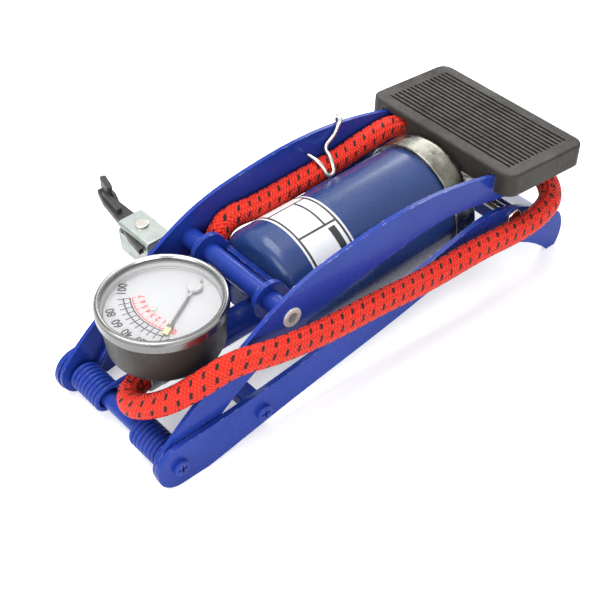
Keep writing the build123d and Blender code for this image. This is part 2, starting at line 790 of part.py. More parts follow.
def gauge_needle():
    """Pointer, hub and arbor, pointing along -Y before it is turned to zero."""
    low = dial_top_z + needle_lift
    mid = low + needle_thickness / 2
    blade = Pos(0, -needle_length / 2, mid) * Box(needle_width, needle_length, needle_thickness)
    tail = Pos(0, 3.0, mid) * Box(needle_width * 1.6, 6.0, needle_thickness)
    hub = Pos(0, 0, low + 0.6) * Cylinder(needle_hub_radius, 1.2)
    hub = fillet(hub.faces().sort_by(Axis.Z)[-1].edges(), 0.4)
    flag = Pos(0, -needle_length + 3.0, mid) * Box(2.6, 6.0, needle_thickness)
    arbor_length = low - dial_bottom_z + 1.6
    arbor = Pos(0, 0, low - arbor_length / 2) * Cylinder(arbor_radius, arbor_length)
    needle = blade + tail + hub + flag + arbor
    return on_gauge(Pos(0, needle_pivot_offset, 0) * (Rot(0, 0, needle_rest_angle) * needle))


# ----------------------------------------------------------------------------------------
# Piston
# ----------------------------------------------------------------------------------------
def piston_rod():
    """Rod with a forged eye whose large hole rides over the rear pin."""
    eye_radius = rear_pin_radius + eye_clearance + eye_wall
    rod_rear = rear_pin_yz[0] - eye_radius + 1.5
    rod = axial_disc(piston_rod_radius, piston_front - 3.5, rod_rear, barrel_axis_z)
    eye = across_disc(rear_pin_yz, eye_radius, -eye_width / 2, eye_width / 2)
    hole = across_disc(rear_pin_yz, rear_pin_radius + eye_clearance, -eye_width, eye_width)
    return rod + eye - hole


def piston_cup():
    """Rubber cup whose lip seals on the barrel wall."""
    outer = barrel_radius - barrel_wall - 0.08
    cup = axial_disc(outer, piston_front, piston_front + piston_length, barrel_axis_z)
    hollow = axial_disc(outer - 2.2, piston_front - 1, piston_front + piston_length - 3, barrel_axis_z)
    bore = axial_disc(piston_rod_radius, piston_front - 1, piston_front + 20, barrel_axis_z)
    return cup - hollow - bore


def piston_plates():
    floor = piston_front + piston_length
    rear = axial_disc(piston_plate_radius, floor, floor + piston_plate, barrel_axis_z)
    front = axial_disc(piston_plate_radius, floor - 3 - piston_plate, floor - 3, barrel_axis_z)
    bore = axial_disc(piston_rod_radius, piston_front - 5, piston_front + 20, barrel_axis_z)
    return Compound(children=[rear - bore, front - bore])


def hex_nut(y_start):
    nut = extrude(axial_plane(y_start, barrel_axis_z) * RegularPolygon(piston_nut_radius, 6), piston_nut_height)
    return nut - axial_disc(piston_rod_radius, y_start - 1, y_start + piston_nut_height + 1, barrel_axis_z)


def piston_nuts():
    floor = piston_front + piston_length
    front = hex_nut(floor - 3 - piston_plate - piston_nut_height)
    return Compound(children=[front, hex_nut(floor + piston_plate)])


def pin_washers():
    washer = across_disc(rear_pin_yz, 8.6, eye_width / 2 + 0.4, eye_width / 2 + 1.6)
    washer -= across_disc(rear_pin_yz, rear_pin_radius, 0, 20)
    return Compound(children=[washer, other_side(washer)])


# ----------------------------------------------------------------------------------------
# Hose
# ----------------------------------------------------------------------------------------
# Corner points of the centre line: (x, y from the hinge line, z)
lead_points = [
    (0.0, tee_front, tee_z),
    (0.0, 5.0, tee_z),
    (11.5, -4.5, 27.5),
    (27.0, 3.5, 35.5),
    (36.2, 17.5, 45.6),
    (41.0, 31.0, 52.2),
    (45.6, 49.0, 49.5),
    (45.8, 63.0, 47.05),
]
hose_points = [
    lead_points[-1],
    (46.0, 77.0, 44.6),
    (46.0, 105.0, 42.3),
    (46.2, 135.0, 38.2),
    (46.8, 167.0, 38.2),
    (47.0, 192.0, 34.8),
    (46.6, 208.0, 35.2),
    (43.0, 222.0, 37.2),
    (31.0, 227.5, 42.0),
    (8.0, 226.5, 44.5),
    (-13.0, 219.5, 46.0),
    (-25.3, 204.0, 50.5),
    (-28.7, 184.5, 60.5),
    (-28.7, 166.0, 59.4),
    (-28.7, 146.0, 56.6),
    (-28.6, 120.0, 56.2),
    (-28.7, 97.0, 55.5),
    (-28.8, 84.5, 57.6),
    (-28.9, 76.8, 53.6),
    (-28.9, 68.7, 36.1),
    (-38.0, chuck_end[1], chuck_end[2]),
    chuck_end,
]


def bend_radii(points):
    """One radius per corner: as large as the two runs that meet there allow."""
    radii = []
    for before, corner, after in zip(points, points[1:], points[2:]):
        first = Vector(*corner) - Vector(*before)
        second = Vector(*after) - Vector(*corner)
        half_turn = math.radians(first.get_angle(second)) / 2
        radii.append(0.45 * min(first.length, second.length) / math.tan(half_turn))
    return radii


def routed(points, radius):
    """Round bar swept along a filleted line through the corner points."""
    placed = [(x, hinge_y + y, z) for x, y, z in points]
    radii = bend_radii(placed)
    line = FilletPolyline(*placed, radius=radii)
    bar = sweep(Plane(line @ 0, z_dir=line % 0) * Circle(radius), path=line)
    return bar, line, radii


keeper_points = [
    (-37.9, 156.5, 66.0),
    (-37.9, 155.5, 75.2),
    (-33.1, 155.0, 75.4),
    (-33.1, 150.0, 68.0),
    (-32.6, 143.0, 64.6),
    (-25.5, 141.5, 63.6),
    (-21.6, 140.0, 57.4),
    (-21.6, 136.0, 57.4),
    (-25.5, 135.0, 63.6),
    (-33.1, 134.0, 64.8),
]


# ----------------------------------------------------------------------------------------
# Chuck, drawn with x out from the hose end, y across and z up, then turned to face -X
# ----------------------------------------------------------------------------------------
def on_chuck(shape):
    x, y, z = chuck_end
    return Pos(x, hinge_y + y, z) * (Rot(0, 0, 180) * shape)


def along(radius, start, end):
    """Round bar along the chuck's axis."""
    return Pos((start + end) / 2, 0, 0) * (Rot(0, 90, 0) * Cylinder(radius, end - start))


chuck_mouth = chuck_neck_length + chuck_body_length
chuck_pin_x = chuck_mouth - chuck_pin_from_mouth
chuck_seal_start = chuck_mouth - chuck_bore_depth - chuck_seal_thickness
slot_top = chuck_top - chuck_cheek
slot_bottom = slot_top - chuck_lever_thickness - 2 * chuck_slot_play


def chuck_body():
    height = chuck_top + chuck_bottom
    block = Box(chuck_body_length, 2 * chuck_half_width, height)
    block = fillet(block.edges().filter_by(Axis.X), chuck_corner_radius)
    block = fillet(block.edges().filter_by(Axis.Z), 1.0)
    centre_x = chuck_neck_length + chuck_body_length / 2
    body = Pos(centre_x, 0, (chuck_top - chuck_bottom) / 2) * block
    body += along(chuck_neck_radius, 0, chuck_neck_length + 1)
    body -= along(chuck_air_radius, -1, chuck_mouth)
    body -= along(chuck_bore_radius, chuck_mouth - chuck_bore_depth, chuck_mouth + 1)
    body -= along(chuck_seal_radius, chuck_seal_start, chuck_seal_start + chuck_seal_thickness)
    slot = Box(chuck_slot_end + 1, 40, slot_top - slot_bottom)
    slot_x = chuck_mouth - chuck_slot_end / 2 + 0.5
    body -= Pos(slot_x, 0, (slot_top + slot_bottom) / 2) * slot
    body -= Pos(chuck_pin_x, 0, slot_top) * Cylinder(chuck_pin_radius, 12)
    return on_chuck(body)


def chuck_seal():
    ring = along(chuck_seal_radius, chuck_seal_start, chuck_seal_start + chuck_seal_thickness)
    return on_chuck(ring - along(chuck_seal_bore, chuck_seal_start - 1, chuck_mouth))


def chuck_pin():
    low = slot_top - 6
    shank = Pos(chuck_pin_x, 0, (low + chuck_top) / 2) * Cylinder(chuck_pin_radius, chuck_top - low)
    head = Pos(chuck_pin_x, 0, chuck_top + chuck_pin_head_height / 2) * Cylinder(chuck_pin_head, chuck_pin_head_height)
    head = fillet(head.faces().sort_by(Axis.Z)[-1].edges(), 0.5)
    return on_chuck(shank + head)


def chuck_lever():
    """Flat cam lever with a deep thumb piece; x and y from the pin."""
    outline = [
        (-12, 10.6),
        (0, 8.8),
        (14, 5.0),
        (30, 2.4),
        (39, -0.5),
        (39, -7.0),
        (30, -5.6),
        (24, -3.4),
        (13, -3.6),
        (4, -5.0),
        (-4.6, -3.6),
        (-5.2, 3.0),
        (-5.0, 7.9),
        (-12, 7.9),
    ]
    with BuildPart() as plate:
        with BuildSketch(Plane.XY.offset(slot_bottom + chuck_slot_play)):
            with BuildLine():
                Polyline(*outline, close=True)
            make_face()
            fillet(vertices(), 0.35)
        extrude(amount=chuck_lever_thickness)
    mid = slot_bottom + chuck_slot_play + chuck_lever_thickness / 2
    low = chuck_bore_radius + chuck_thumb_clearance
    thumb = Pos(34.0, -3.2, low + chuck_thumb_height / 2) * (Rot(0, 0, -14) * Box(10.5, 3.2, chuck_thumb_height))
    thumb = fillet(thumb.edges().filter_by(Axis.Z), 1.2)
    web = Pos(24.0, 0.6, low + chuck_web_height / 2) * (Rot(0, 0, -8) * Box(16, 2.4, chuck_web_height))
    lever = plate.part + thumb + web
    lever -= Pos(0, 0, mid) * Cylinder(chuck_pin_radius + running_clearance, 20)
    return on_chuck(Pos(chuck_pin_x, 0, 0) * lever)


# ----------------------------------------------------------------------------------------
# Write every part
# ----------------------------------------------------------------------------------------
def report_route(name, bar, line, radii):
    shown = ", ".join(str(round(r, 1)) for r in radii)
    expected = math.pi * hose_radius**2 * line.length
    print(name, "length", round(line.length, 1), "bend radii", shown)
    print(name, "volume over section times length", round(bar.volume / expected, 4))


def main():
    os.makedirs("parts", exist_ok=True)
    rail = right_rail()
    export(rail, "base_rail_right")
    export(other_side(rail), "base_rail_left")
    export(rear_cross_plate(), "rear_cross_plate")
    export(front_cross_bar(), "front_cross_bar")
    export(hinge_rod(), "hinge_rod")
    screw = pan_screw((0, hinge_z), hinge_screw_radius, hinge_screw_depth)
    export(Compound(children=[screw, other_side(screw)]), "hinge_screws")
    screw = pan_screw(front_bar_yz, bar_screw_radius, bar_screw_depth)
    export(Compound(children=[screw, other_side(screw)]), "front_bar_screws")
    export(rear_pin(), "rear_pin")
    export(pin_washers(), "rear_pin_washers")
    spring = torsion_spring()
    export(spring, "torsion_spring_right")
    export(other_side(spring), "torsion_spring_left")
    arm = right_arm()
    export(arm, "lever_arm_right")
    export(other_side(arm), "lever_arm_left")
    export(cross_tube(), "cross_tube")
    rivet = tube_rivet()
    export(Compound(children=[rivet, other_side(rivet)]), "cross_tube_rivets")
    export(pedal_pad(), "pedal_pad")
    export(pedal_bridge(), "pedal_bridge")
    export(pedal_screws(), "pedal_screws")
    export(bridge_rivets(), "pedal_bridge_rivets")
    export(barrel(), "barrel")
    export(end_cap(), "end_cap")
    export(guide_bush(), "rod_guide_bush")
    export(cylinder_label(), "cylinder_label")
    export(barrel_bracket(), "barrel_bracket")
    export(outlet_tee(), "outlet_tee")
    export(valve_disc(), "check_valve_disc")
    export(hose_ferrule(), "hose_ferrule")
    export(gauge_case(), "gauge_case")
    export(gauge_bezel(), "gauge_bezel")
    export(gauge_lens(), "gauge_lens")
    export(gauge_dial(), "gauge_dial")
    export(dial_screws(), "gauge_dial_screws")
    export(gauge_stem(), "gauge_stem")
    export(movement_block(), "gauge_movement")
    export(bourdon_tube(), "gauge_bourdon_tube")
    export(gauge_needle(), "gauge_needle")
    export(piston_rod(), "piston_rod")
    export(piston_cup(), "piston_cup")
    export(piston_plates(), "piston_plates")
    export(piston_nuts(), "piston_nuts")
    bar, line, radii = routed(lead_points, hose_radius)
    report_route("hose_lead", bar, line, radii)
    export(bar, "hose_lead")
    bar, line, radii = routed(hose_points, hose_radius)
    report_route("hose", bar, line, radii)
    export(bar, "hose")
    wire, line, radii = routed(keeper_points, keeper_wire_radius)
    export(wire, "hose_keeper")
    export(chuck_body(), "chuck_body")
    export(chuck_seal(), "chuck_seal")
    export(chuck_pin(), "chuck_pin")
    export(chuck_lever(), "chuck_lever")


main()
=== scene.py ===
# %% [markdown]
# # Dressing a folded foot air pump
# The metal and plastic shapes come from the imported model. This file gives them their paint,
# plating and print, adds the pieces that are soft or thin, and sets up light and camera.
# Lengths are metres; +Y runs from the hinge end to the pedal, +X is the side where the hose
# runs along the rail, +Z is up.

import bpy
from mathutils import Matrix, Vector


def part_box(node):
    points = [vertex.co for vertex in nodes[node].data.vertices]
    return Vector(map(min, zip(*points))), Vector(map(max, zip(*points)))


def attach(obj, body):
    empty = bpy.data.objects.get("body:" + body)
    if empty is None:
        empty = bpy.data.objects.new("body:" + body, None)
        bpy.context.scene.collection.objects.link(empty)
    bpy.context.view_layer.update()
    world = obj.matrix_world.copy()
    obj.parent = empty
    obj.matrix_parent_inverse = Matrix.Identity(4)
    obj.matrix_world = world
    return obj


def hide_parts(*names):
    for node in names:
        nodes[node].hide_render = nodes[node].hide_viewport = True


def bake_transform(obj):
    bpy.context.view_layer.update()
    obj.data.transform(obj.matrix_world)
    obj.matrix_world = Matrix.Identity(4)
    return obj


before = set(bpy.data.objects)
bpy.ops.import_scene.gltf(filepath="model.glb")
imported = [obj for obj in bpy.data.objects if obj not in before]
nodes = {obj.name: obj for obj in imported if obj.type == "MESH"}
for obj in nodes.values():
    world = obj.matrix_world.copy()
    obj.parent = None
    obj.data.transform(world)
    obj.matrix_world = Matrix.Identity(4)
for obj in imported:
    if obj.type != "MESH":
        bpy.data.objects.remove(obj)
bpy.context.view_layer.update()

# %% Shared imports and sizes
import bpy
import bmesh
import math
from mathutils import Matrix, Vector

MM = 0.001
HINGE_Y = -0.113


def at(x, y, z):
    """A place given in millimetres, with y counted from the hinge line."""
    return Vector((x * MM, HINGE_Y + y * MM, z * MM))


print("hinge line at y =", HINGE_Y)

# %% [markdown]
# ## The camera
# A long lens from the front right, looking down at a little over forty degrees. It is built
# from its compass angle, height angle and a slight roll, so each of the three can be changed
# alone. A look-at constraint would work too, but would hide the roll.

# %% Camera
AZIMUTH = math.radians(51.16)
ELEVATION = math.radians(42.71)
ROLL = math.radians(-2.34)
DISTANCE = 0.6017
AIM = at(13.4, 91.6, 26.9)
LENS_LENGTH = 78.5
SENSOR_WIDTH = 36

towards_camera = Vector(
    (
        math.sin(AZIMUTH) * math.cos(ELEVATION),
        -math.cos(AZIMUTH) * math.cos(ELEVATION),
        math.sin(ELEVATION),
    )
)
level_right = Vector((math.cos(AZIMUTH), math.sin(AZIMUTH), 0))
level_up = towards_camera.cross(level_right)
right = level_right * math.cos(ROLL) + level_up * math.sin(ROLL)
up = level_up * math.cos(ROLL) - level_right * math.sin(ROLL)
turn = Matrix((right, up, towards_camera)).transposed().to_4x4()

camera_data = bpy.data.cameras.new("studio_camera")
camera_data.lens = LENS_LENGTH
camera_data.sensor_width = SENSOR_WIDTH
camera_data.clip_start = 0.01
camera = bpy.data.objects.new("studio_camera", camera_data)
camera.matrix_world = Matrix.Translation(AIM + towards_camera * DISTANCE) @ turn
bpy.context.scene.collection.objects.link(camera)
bpy.context.scene.camera = camera
bpy.context.scene.view_settings.view_transform = "Standard"
print("camera at", [round(v, 3) for v in camera.matrix_world.translation])

# %% [markdown]
# ## The hose
# A rubber tube under a woven sleeve, about half a metre long. It leaves the outlet under the
# gauge, turns back over the right arm, follows the outside of the right rail, curls under the
# pedal and comes forward again between the barrel and the left arm. A NURBS spline with the
# route's corners as its control points gives it one easy line, and the sleeve is a tube of
# rings built along that line, so that it can carry a UV map for the weave.

# %% The hose's line
HOSE_RADIUS = 5.5
HOSE_SIDES = 40
STEPS_PER_SPAN = 20
hose_route = [
    (0.0, 18.0, 26.0),
    (0.0, 5.0, 26.0),
    (11.5, -4.5, 27.5),
    (27.0, 3.5, 35.5),
    (36.2, 17.5, 45.6),
    (41.0, 31.0, 52.2),
    (45.6, 49.0, 49.5),
    (46.0, 77.0, 44.6),
    (46.0, 105.0, 42.3),
    (46.2, 135.0, 38.2),
    (46.8, 167.0, 38.2),
    (47.0, 192.0, 34.8),
    (46.6, 208.0, 35.2),
    (43.0, 222.0, 37.2),
    (31.0, 227.5, 42.0),
    (8.0, 226.5, 44.5),
    (-13.0, 219.5, 46.0),
    (-25.3, 204.0, 50.5),
    (-28.7, 184.5, 60.5),
    (-28.7, 166.0, 59.4),
    (-28.7, 146.0, 56.6),
    (-28.6, 120.0, 56.2),
    (-28.7, 97.0, 55.5),
    (-28.8, 84.5, 57.6),
    (-28.9, 76.8, 53.6),
    (-28.9, 68.7, 36.1),
    (-38.0, 61.5, 31.2),
    (-50.0, 61.5, 31.2),
]


def smooth_line(route, per_span):
    """Points along a NURBS spline whose control points are the route's corners."""
    curve = bpy.data.curves.new("route", "CURVE")
    curve.dimensions = "3D"
    spline = curve.splines.new("NURBS")
    spline.points.add(len(route) - 1)
    for point, place in zip(spline.points, route):
        point.co = (*at(*place), 1)
    spline.order_u = 3
    spline.use_endpoint_u = True
    spline.resolution_u = per_span
    holder = bpy.data.objects.new("route", curve)
    bpy.context.scene.collection.objects.link(holder)
    line = bpy.data.meshes.new_from_object(holder)
    points = [v.co.copy() for v in line.vertices]
    bpy.data.objects.remove(holder)
    bpy.data.meshes.remove(line)
    return points


hose_line = smooth_line(hose_route, STEPS_PER_SPAN)


# %% A tube with a UV map along a line
def add_piece(name, mesh, smooth=True):
    """Put a finished mesh into the scene as an object."""
    piece = bpy.data.objects.new(name, mesh)
    bpy.context.scene.collection.objects.link(piece)
    for face in mesh.polygons:
        face.use_smooth = smooth
    return piece


def sleeve(name, line, radius, sides):
    """Tube of rings that carry no twist; U goes round, V counts metres along."""
    rows = []
    travelled = 0.0
    tangent = (line[1] - line[0]).normalized()
    normal = tangent.orthogonal().normalized()
    for i, point in enumerate(line):
        before = line[max(i - 1, 0)]
        after = line[min(i + 1, len(line) - 1)]
        tangent = (after - before).normalized()
        normal = (normal - tangent * normal.dot(tangent)).normalized()
        side = tangent.cross(normal)
        if i:
            travelled += (point - line[i - 1]).length
        rows.append((point, normal.copy(), side, travelled))
    shape = bmesh.new()
    uv = shape.loops.layers.uv.new("weave")
    rings = []
    for point, normal, side, _ in rows:
        ring = []
        for k in range(sides):
            angle = math.tau * k / sides
            out = normal * math.cos(angle) + side * math.sin(angle)
            ring.append(shape.verts.new(point + out * radius))
        rings.append(ring)
    for i in range(len(rings) - 1):
        for k in range(sides):
            n = (k + 1) % sides
            face = shape.faces.new((rings[i][k], rings[i][n], rings[i + 1][n], rings[i + 1][k]))
            places = ((k, i), (k + 1, i), (k + 1, i + 1), (k, i + 1))
            for loop, (u, v) in zip(face.loops, places):
                loop[uv].uv = (u / sides, rows[v][3])
    shape.faces.new(list(reversed(rings[0])))
    shape.faces.new(rings[-1])
    mesh = bpy.data.meshes.new(name)
    shape.to_mesh(mesh)
    shape.free()
    return add_piece(name, mesh)


braided_hose = sleeve("braided_hose", hose_line, HOSE_RADIUS * MM, HOSE_SIDES)
print("braided_hose", len(braided_hose.data.polygons), "faces")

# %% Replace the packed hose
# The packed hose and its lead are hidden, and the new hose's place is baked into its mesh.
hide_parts("hose", "hose_lead")
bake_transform(braided_hose)

# %% [markdown]
# ## Shared shader effects
# Four small node groups serve the materials. One breaks up a colour with two sizes of noise,
# one finds worn edges by comparing the true normal with a rounded one, one gives the height of
# a fine surface texture, and one settles dust on faces that look up. Painting masks on the
# mesh would tie them to its faces, so they are worked out from position instead.


# %% Small helpers for node trees
def node(tree, kind, inputs=None, **settings):
    """Add a shader node; an input may be a value or another node's output."""
    made = tree.nodes.new(kind)
    for key, value in settings.items():
        setattr(made, key, value)
    for key, value in (inputs or {}).items():
        if isinstance(value, bpy.types.NodeSocket):
            tree.links.new(value, made.inputs[key])
        else:
            made.inputs[key].default_value = value
    return made


def calculate(tree, operation, a, b=0.0, clamp=False):
    made = node(tree, "ShaderNodeMath", {0: a, 1: b}, operation=operation, use_clamp=clamp)
    return made.outputs[0]


def spread(tree, value, low, high, to_low=0.0, to_high=1.0):
    """Map a range of values to another, with soft ends."""
    given = {"Value": value, "From Min": low, "From Max": high, "To Min": to_low, "To Max": to_high}
    made = node(tree, "ShaderNodeMapRange", given, interpolation_type="SMOOTHSTEP")
    return made.outputs["Result"]


def mix_colour(tree, share, first, second, blend="MIX"):
    given = {"Factor": share, 6: first, 7: second}
    made = node(tree, "ShaderNodeMix", given, data_type="RGBA", blend_type=blend)
    return made.outputs[2]


def position(tree):
    """A point on the piece in its own frame, so that a pattern moves with a moving piece."""
    return node(tree, "ShaderNodeTexCoord").outputs["Object"]


def vector_maths(tree, operation, a, b):
    return node(tree, "ShaderNodeVectorMath", {0: a, 1: b}, operation=operation)


def flat_place(tree):
    """A point on the piece with its height left out."""
    parts = node(tree, "ShaderNodeSeparateXYZ", {0: position(tree)}).outputs
    return node(tree, "ShaderNodeCombineXYZ", {"X": parts["X"], "Y": parts["Y"]}).outputs[0]


def reach_from(tree, axis):
    """Distance from an upright line through a place whose height is 0."""
    return vector_maths(tree, "DISTANCE", flat_place(tree), axis).outputs["Value"]


def noise(tree, place, scale, detail=3.0, roughness=0.55):
    given = {"Vector": place, "Scale": scale, "Detail": detail, "Roughness": roughness}
    return node(tree, "ShaderNodeTexNoise", given).outputs["Fac"]


def start_group(name, inputs, output, kind="NodeSocketFloat"):
    """Make a node group with float inputs and their defaults, and one output."""
    tree = bpy.data.node_groups.new(name, "ShaderNodeTree")
    for label, value in inputs.items():
        socket = tree.interface.new_socket(label, in_out="INPUT", socket_type="NodeSocketFloat")
        socket.default_value = value
    tree.interface.new_socket(output, in_out="OUTPUT", socket_type=kind)
    return tree, tree.nodes.new("NodeGroupInput").outputs, tree.nodes.new("NodeGroupOutput")


print("helpers ready")


# %% Cloudy variation
def make_clouds():
    tree, given, end = start_group("clouds", {"Size": 0.02, "Fine share": 0.35}, "Value")
    place = position(tree)
    coarse = noise(tree, place, calculate(tree, "DIVIDE", 1.0, given["Size"]))
    fine = noise(tree, place, calculate(tree, "DIVIDE", 9.0, given["Size"]), detail=5)
    both = node(tree, "ShaderNodeMix", {"Factor": given["Fine share"], 2: coarse, 3: fine})
    tree.links.new(both.outputs[0], end.inputs["Value"])
    return tree


clouds_group = make_clouds()


# %% Worn edges
def make_edge_wear():
    tree, given, end = start_group("edge_wear", {"Width": 0.0006, "Patchiness": 0.5}, "Mask")
    rounded = node(tree, "ShaderNodeBevel", {"Radius": given["Width"]}, samples=6)
    true_normal = node(tree, "ShaderNodeNewGeometry").outputs["Normal"]
    dot = vector_maths(tree, "DOT_PRODUCT", rounded.outputs[0], true_normal)
    edge = spread(tree, dot.outputs["Value"], 0.995, 0.80)
    patches = noise(tree, position(tree), 260.0, detail=4)
    broken = spread(tree, calculate(tree, "SUBTRACT", patches, given["Patchiness"]), 0.0, 0.12)
    tree.links.new(calculate(tree, "MULTIPLY", edge, broken, clamp=True), end.inputs["Mask"])
    return tree


edge_wear_group = make_edge_wear()


# %% Fine surface height
def make_grain():
    tree, given, end = start_group("grain", {"Size": 0.001, "Pits": 0.3}, "Height")
    place = position(tree)
    scale = calculate(tree, "DIVIDE", 1.0, given["Size"])
    soft = noise(tree, place, scale, detail=2)
    cells = node(tree, "ShaderNodeTexVoronoi", {"Vector": place, "Scale": scale})
    pits = calculate(tree, "MULTIPLY", cells.outputs["Distance"], given["Pits"])
    tree.links.new(calculate(tree, "ADD", soft, pits), end.inputs["Height"])
    return tree


grain_group = make_grain()


# %% Settled dust
def make_dust():
    tree, given, end = start_group("dust", {"Amount": 0.3, "Size": 0.008}, "Mask")
    normal = node(tree, "ShaderNodeNewGeometry").outputs["Normal"]
    upward = node(tree, "ShaderNodeSeparateXYZ", {0: normal}).outputs["Z"]
    lying = spread(tree, upward, 0.2, 0.95)
    scale = calculate(tree, "DIVIDE", 1.0, given["Size"])
    specks = noise(tree, position(tree), scale, detail=8, roughness=0.7)
    patchy = spread(tree, specks, 0.45, 0.75)
    share = calculate(tree, "MULTIPLY", lying, patchy)
    mask = calculate(tree, "MULTIPLY", share, given["Amount"], clamp=True)
    tree.links.new(mask, end.inputs["Mask"])
    return tree


dust_group = make_dust()
print("node groups:", [g.name for g in bpy.data.node_groups])


# %% A Principled material to build on
def start_material(name, **sockets):
    """New material; sockets set constants on its Principled node."""
    material = bpy.data.materials.new(name)
    material.use_nodes = True
    tree = material.node_tree
    surface = tree.nodes["Principled BSDF"]
    for label, value in sockets.items():
        surface.inputs[label.replace("_", " ")].default_value = value
    return material, tree, surface


def use_group(tree, group, **values):
    made = tree.nodes.new("ShaderNodeGroup")
    made.node_tree = group
    for label, value in values.items():
        made.inputs[label.replace("_", " ")].default_value = value
    return made.outputs[0]


def bump(tree, surface, height, distance, strength=1.0):
    given = {"Height": height, "Distance": distance, "Strength": strength}
    made = node(tree, "ShaderNodeBump", given)
    tree.links.new(made.outputs["Normal"], surface.inputs["Normal"])


def link(tree, output, surface, label):
    tree.links.new(output, surface.inputs[label])


# %% [markdown]
# ## Paint
# Sprayed gloss enamel over pressed steel. The paint is a deep blue under a thin clear coat, with
# a slight orange peel, cloudy depth in the colour, and bare grey metal where edges have rubbed.
# The barrel is the same paint in a duller, darker blue with more shine.


# %% Enamel
CLEAR_COAT = 0.10


def enamel(name, colour, deep_colour, gloss, peel=0.0030):
    material, tree, surface = start_material(name, Coat_Roughness=0.08, IOR=1.45)
    cloudy = spread(tree, use_group(tree, clouds_group, Size=0.03, Fine_share=0.3), 0.35, 0.68)
    surface.inputs["Specular IOR Level"].default_value = gloss
    paint = mix_colour(tree, cloudy, deep_colour, colour)
    worn = use_group(tree, edge_wear_group, Width=0.0005, Patchiness=0.52)
    steel = (0.36, 0.36, 0.38, 1)
    link(tree, mix_colour(tree, worn, paint, steel), surface, "Base Color")
    smudges = use_group(tree, clouds_group, Size=0.012, Fine_share=0.5)
    rough = spread(tree, smudges, 0.3, 0.75, 0.24, 0.34)
    rubbed = calculate(tree, "MULTIPLY", worn, 0.15)
    link(tree, calculate(tree, "ADD", rough, rubbed), surface, "Roughness")
    link(tree, calculate(tree, "MULTIPLY", worn, 0.8), surface, "Metallic")
    bare = calculate(tree, "MULTIPLY", worn, CLEAR_COAT)
    link(tree, calculate(tree, "SUBTRACT", CLEAR_COAT, bare), surface, "Coat Weight")
    bump(tree, surface, use_group(tree, grain_group, Size=peel, Pits=0.0), 0.00006, 0.6)
    return material


frame_paint = enamel("frame_paint", (0.016, 0.044, 0.29, 1), (0.012, 0.034, 0.24, 1), 0.12)
barrel_paint = enamel("barrel_paint", (0.017, 0.043, 0.15, 1), (0.013, 0.036, 0.13, 1), 0.46)

# %% [markdown]
# ## Metals
# Zinc plating is a blotchy crystal pattern with a faint yellow cast. Turned parts have a fine
# grain, the cast chuck has a satin skin with small pits, and the gauge's bezel has rings about
# its own axis. The hollow rivets are duller, so that they stay silver beside the red hose.


# %% Mottled plating for the end cap
def mottled_plate(name, light, dark):
    material, tree, surface = start_material(name, Metallic=1.0)
    place = position(tree)
    given = {"Vector": place, "Scale": 330.0, "Randomness": 1.0}
    flakes = node(tree, "ShaderNodeTexVoronoi", given)
    flake = node(tree, "ShaderNodeSeparateColor", {0: flakes.outputs["Color"]}).outputs[0]
    blotches = spread(tree, use_group(tree, clouds_group, Size=0.010, Fine_share=0.4), 0.38, 0.66)
    flake_part = calculate(tree, "MULTIPLY", flake, 0.35)
    blotch_part = calculate(tree, "MULTIPLY", blotches, 0.65)
    share = calculate(tree, "ADD", flake_part, blotch_part)
    tone = mix_colour(tree, share, dark, light)
    # Edges are painted lighter: partly rubbed plating, partly a painted highlight along the rims.
    bright = use_group(tree, edge_wear_group, Width=0.0006, Patchiness=0.35)
    link(tree, mix_colour(tree, bright, tone, (0.55, 0.54, 0.50, 1)), surface, "Base Color")
    link(tree, spread(tree, share, 0.1, 0.9, 0.26, 0.44), surface, "Roughness")
    bump(tree, surface, share, 0.00005, 0.5)
    return material


cap_plating = mottled_plate("cap_plating", (0.30, 0.295, 0.255, 1), (0.14, 0.14, 0.12, 1))


# %% Plain worked metals
def metal(name, colour, tarnish, roughness, grain_size, grain_depth, metallic=1.0):
    material, tree, surface = start_material(name, Metallic=metallic)
    stains = spread(tree, use_group(tree, clouds_group, Size=0.006, Fine_share=0.5), 0.42, 0.72)
    tone = mix_colour(tree, stains, colour, tarnish)
    rubbed = use_group(tree, edge_wear_group, Width=0.0003, Patchiness=0.35)
    lighter = mix_colour(tree, 0.5, colour, (0.9, 0.9, 0.9, 1))
    link(tree, mix_colour(tree, rubbed, tone, lighter), surface, "Base Color")
    link(tree, spread(tree, stains, 0.0, 1.0, roughness, roughness + 0.18), surface, "Roughness")
    bump(tree, surface, use_group(tree, grain_group, Size=grain_size, Pits=0.4), grain_depth, 0.6)
    return material


bright_zinc = metal(
    "bright_zinc",
    colour=(0.66, 0.64, 0.58, 1),
    tarnish=(0.42, 0.40, 0.34, 1),
    roughness=0.24,
    grain_size=0.0006,
    grain_depth=0.00002,
)
turned_steel = metal(
    "turned_steel",
    colour=(0.60, 0.60, 0.60, 1),
    tarnish=(0.40, 0.39, 0.37, 1),
    roughness=0.25,
    grain_size=0.0004,
    grain_depth=0.00002,
)
cast_zinc = metal(
    "cast_zinc",
    colour=(0.34, 0.37, 0.35, 1),
    tarnish=(0.24, 0.265, 0.255, 1),
    roughness=0.42,
    grain_size=0.0009,
    grain_depth=0.00006,
)
brass = metal(
    "brass",
    colour=(0.72, 0.50, 0.20, 1),
    tarnish=(0.42, 0.28, 0.12, 1),
    roughness=0.26,
    grain_size=0.0005,
    grain_depth=0.00002,
)
rivet_zinc = metal(
    "rivet_zinc",
    colour=(0.62, 0.62, 0.60, 1),
    tarnish=(0.44, 0.44, 0.42, 1),
    roughness=0.46,
    grain_size=0.0005,
    grain_depth=0.00002,
    metallic=0.55,
)
print("plain metals ready")


# %% Turned rings for the gauge bezel
GAUGE_AXIS = at(0, 25.4, 0)
RING_STEP = 1.05 * MM


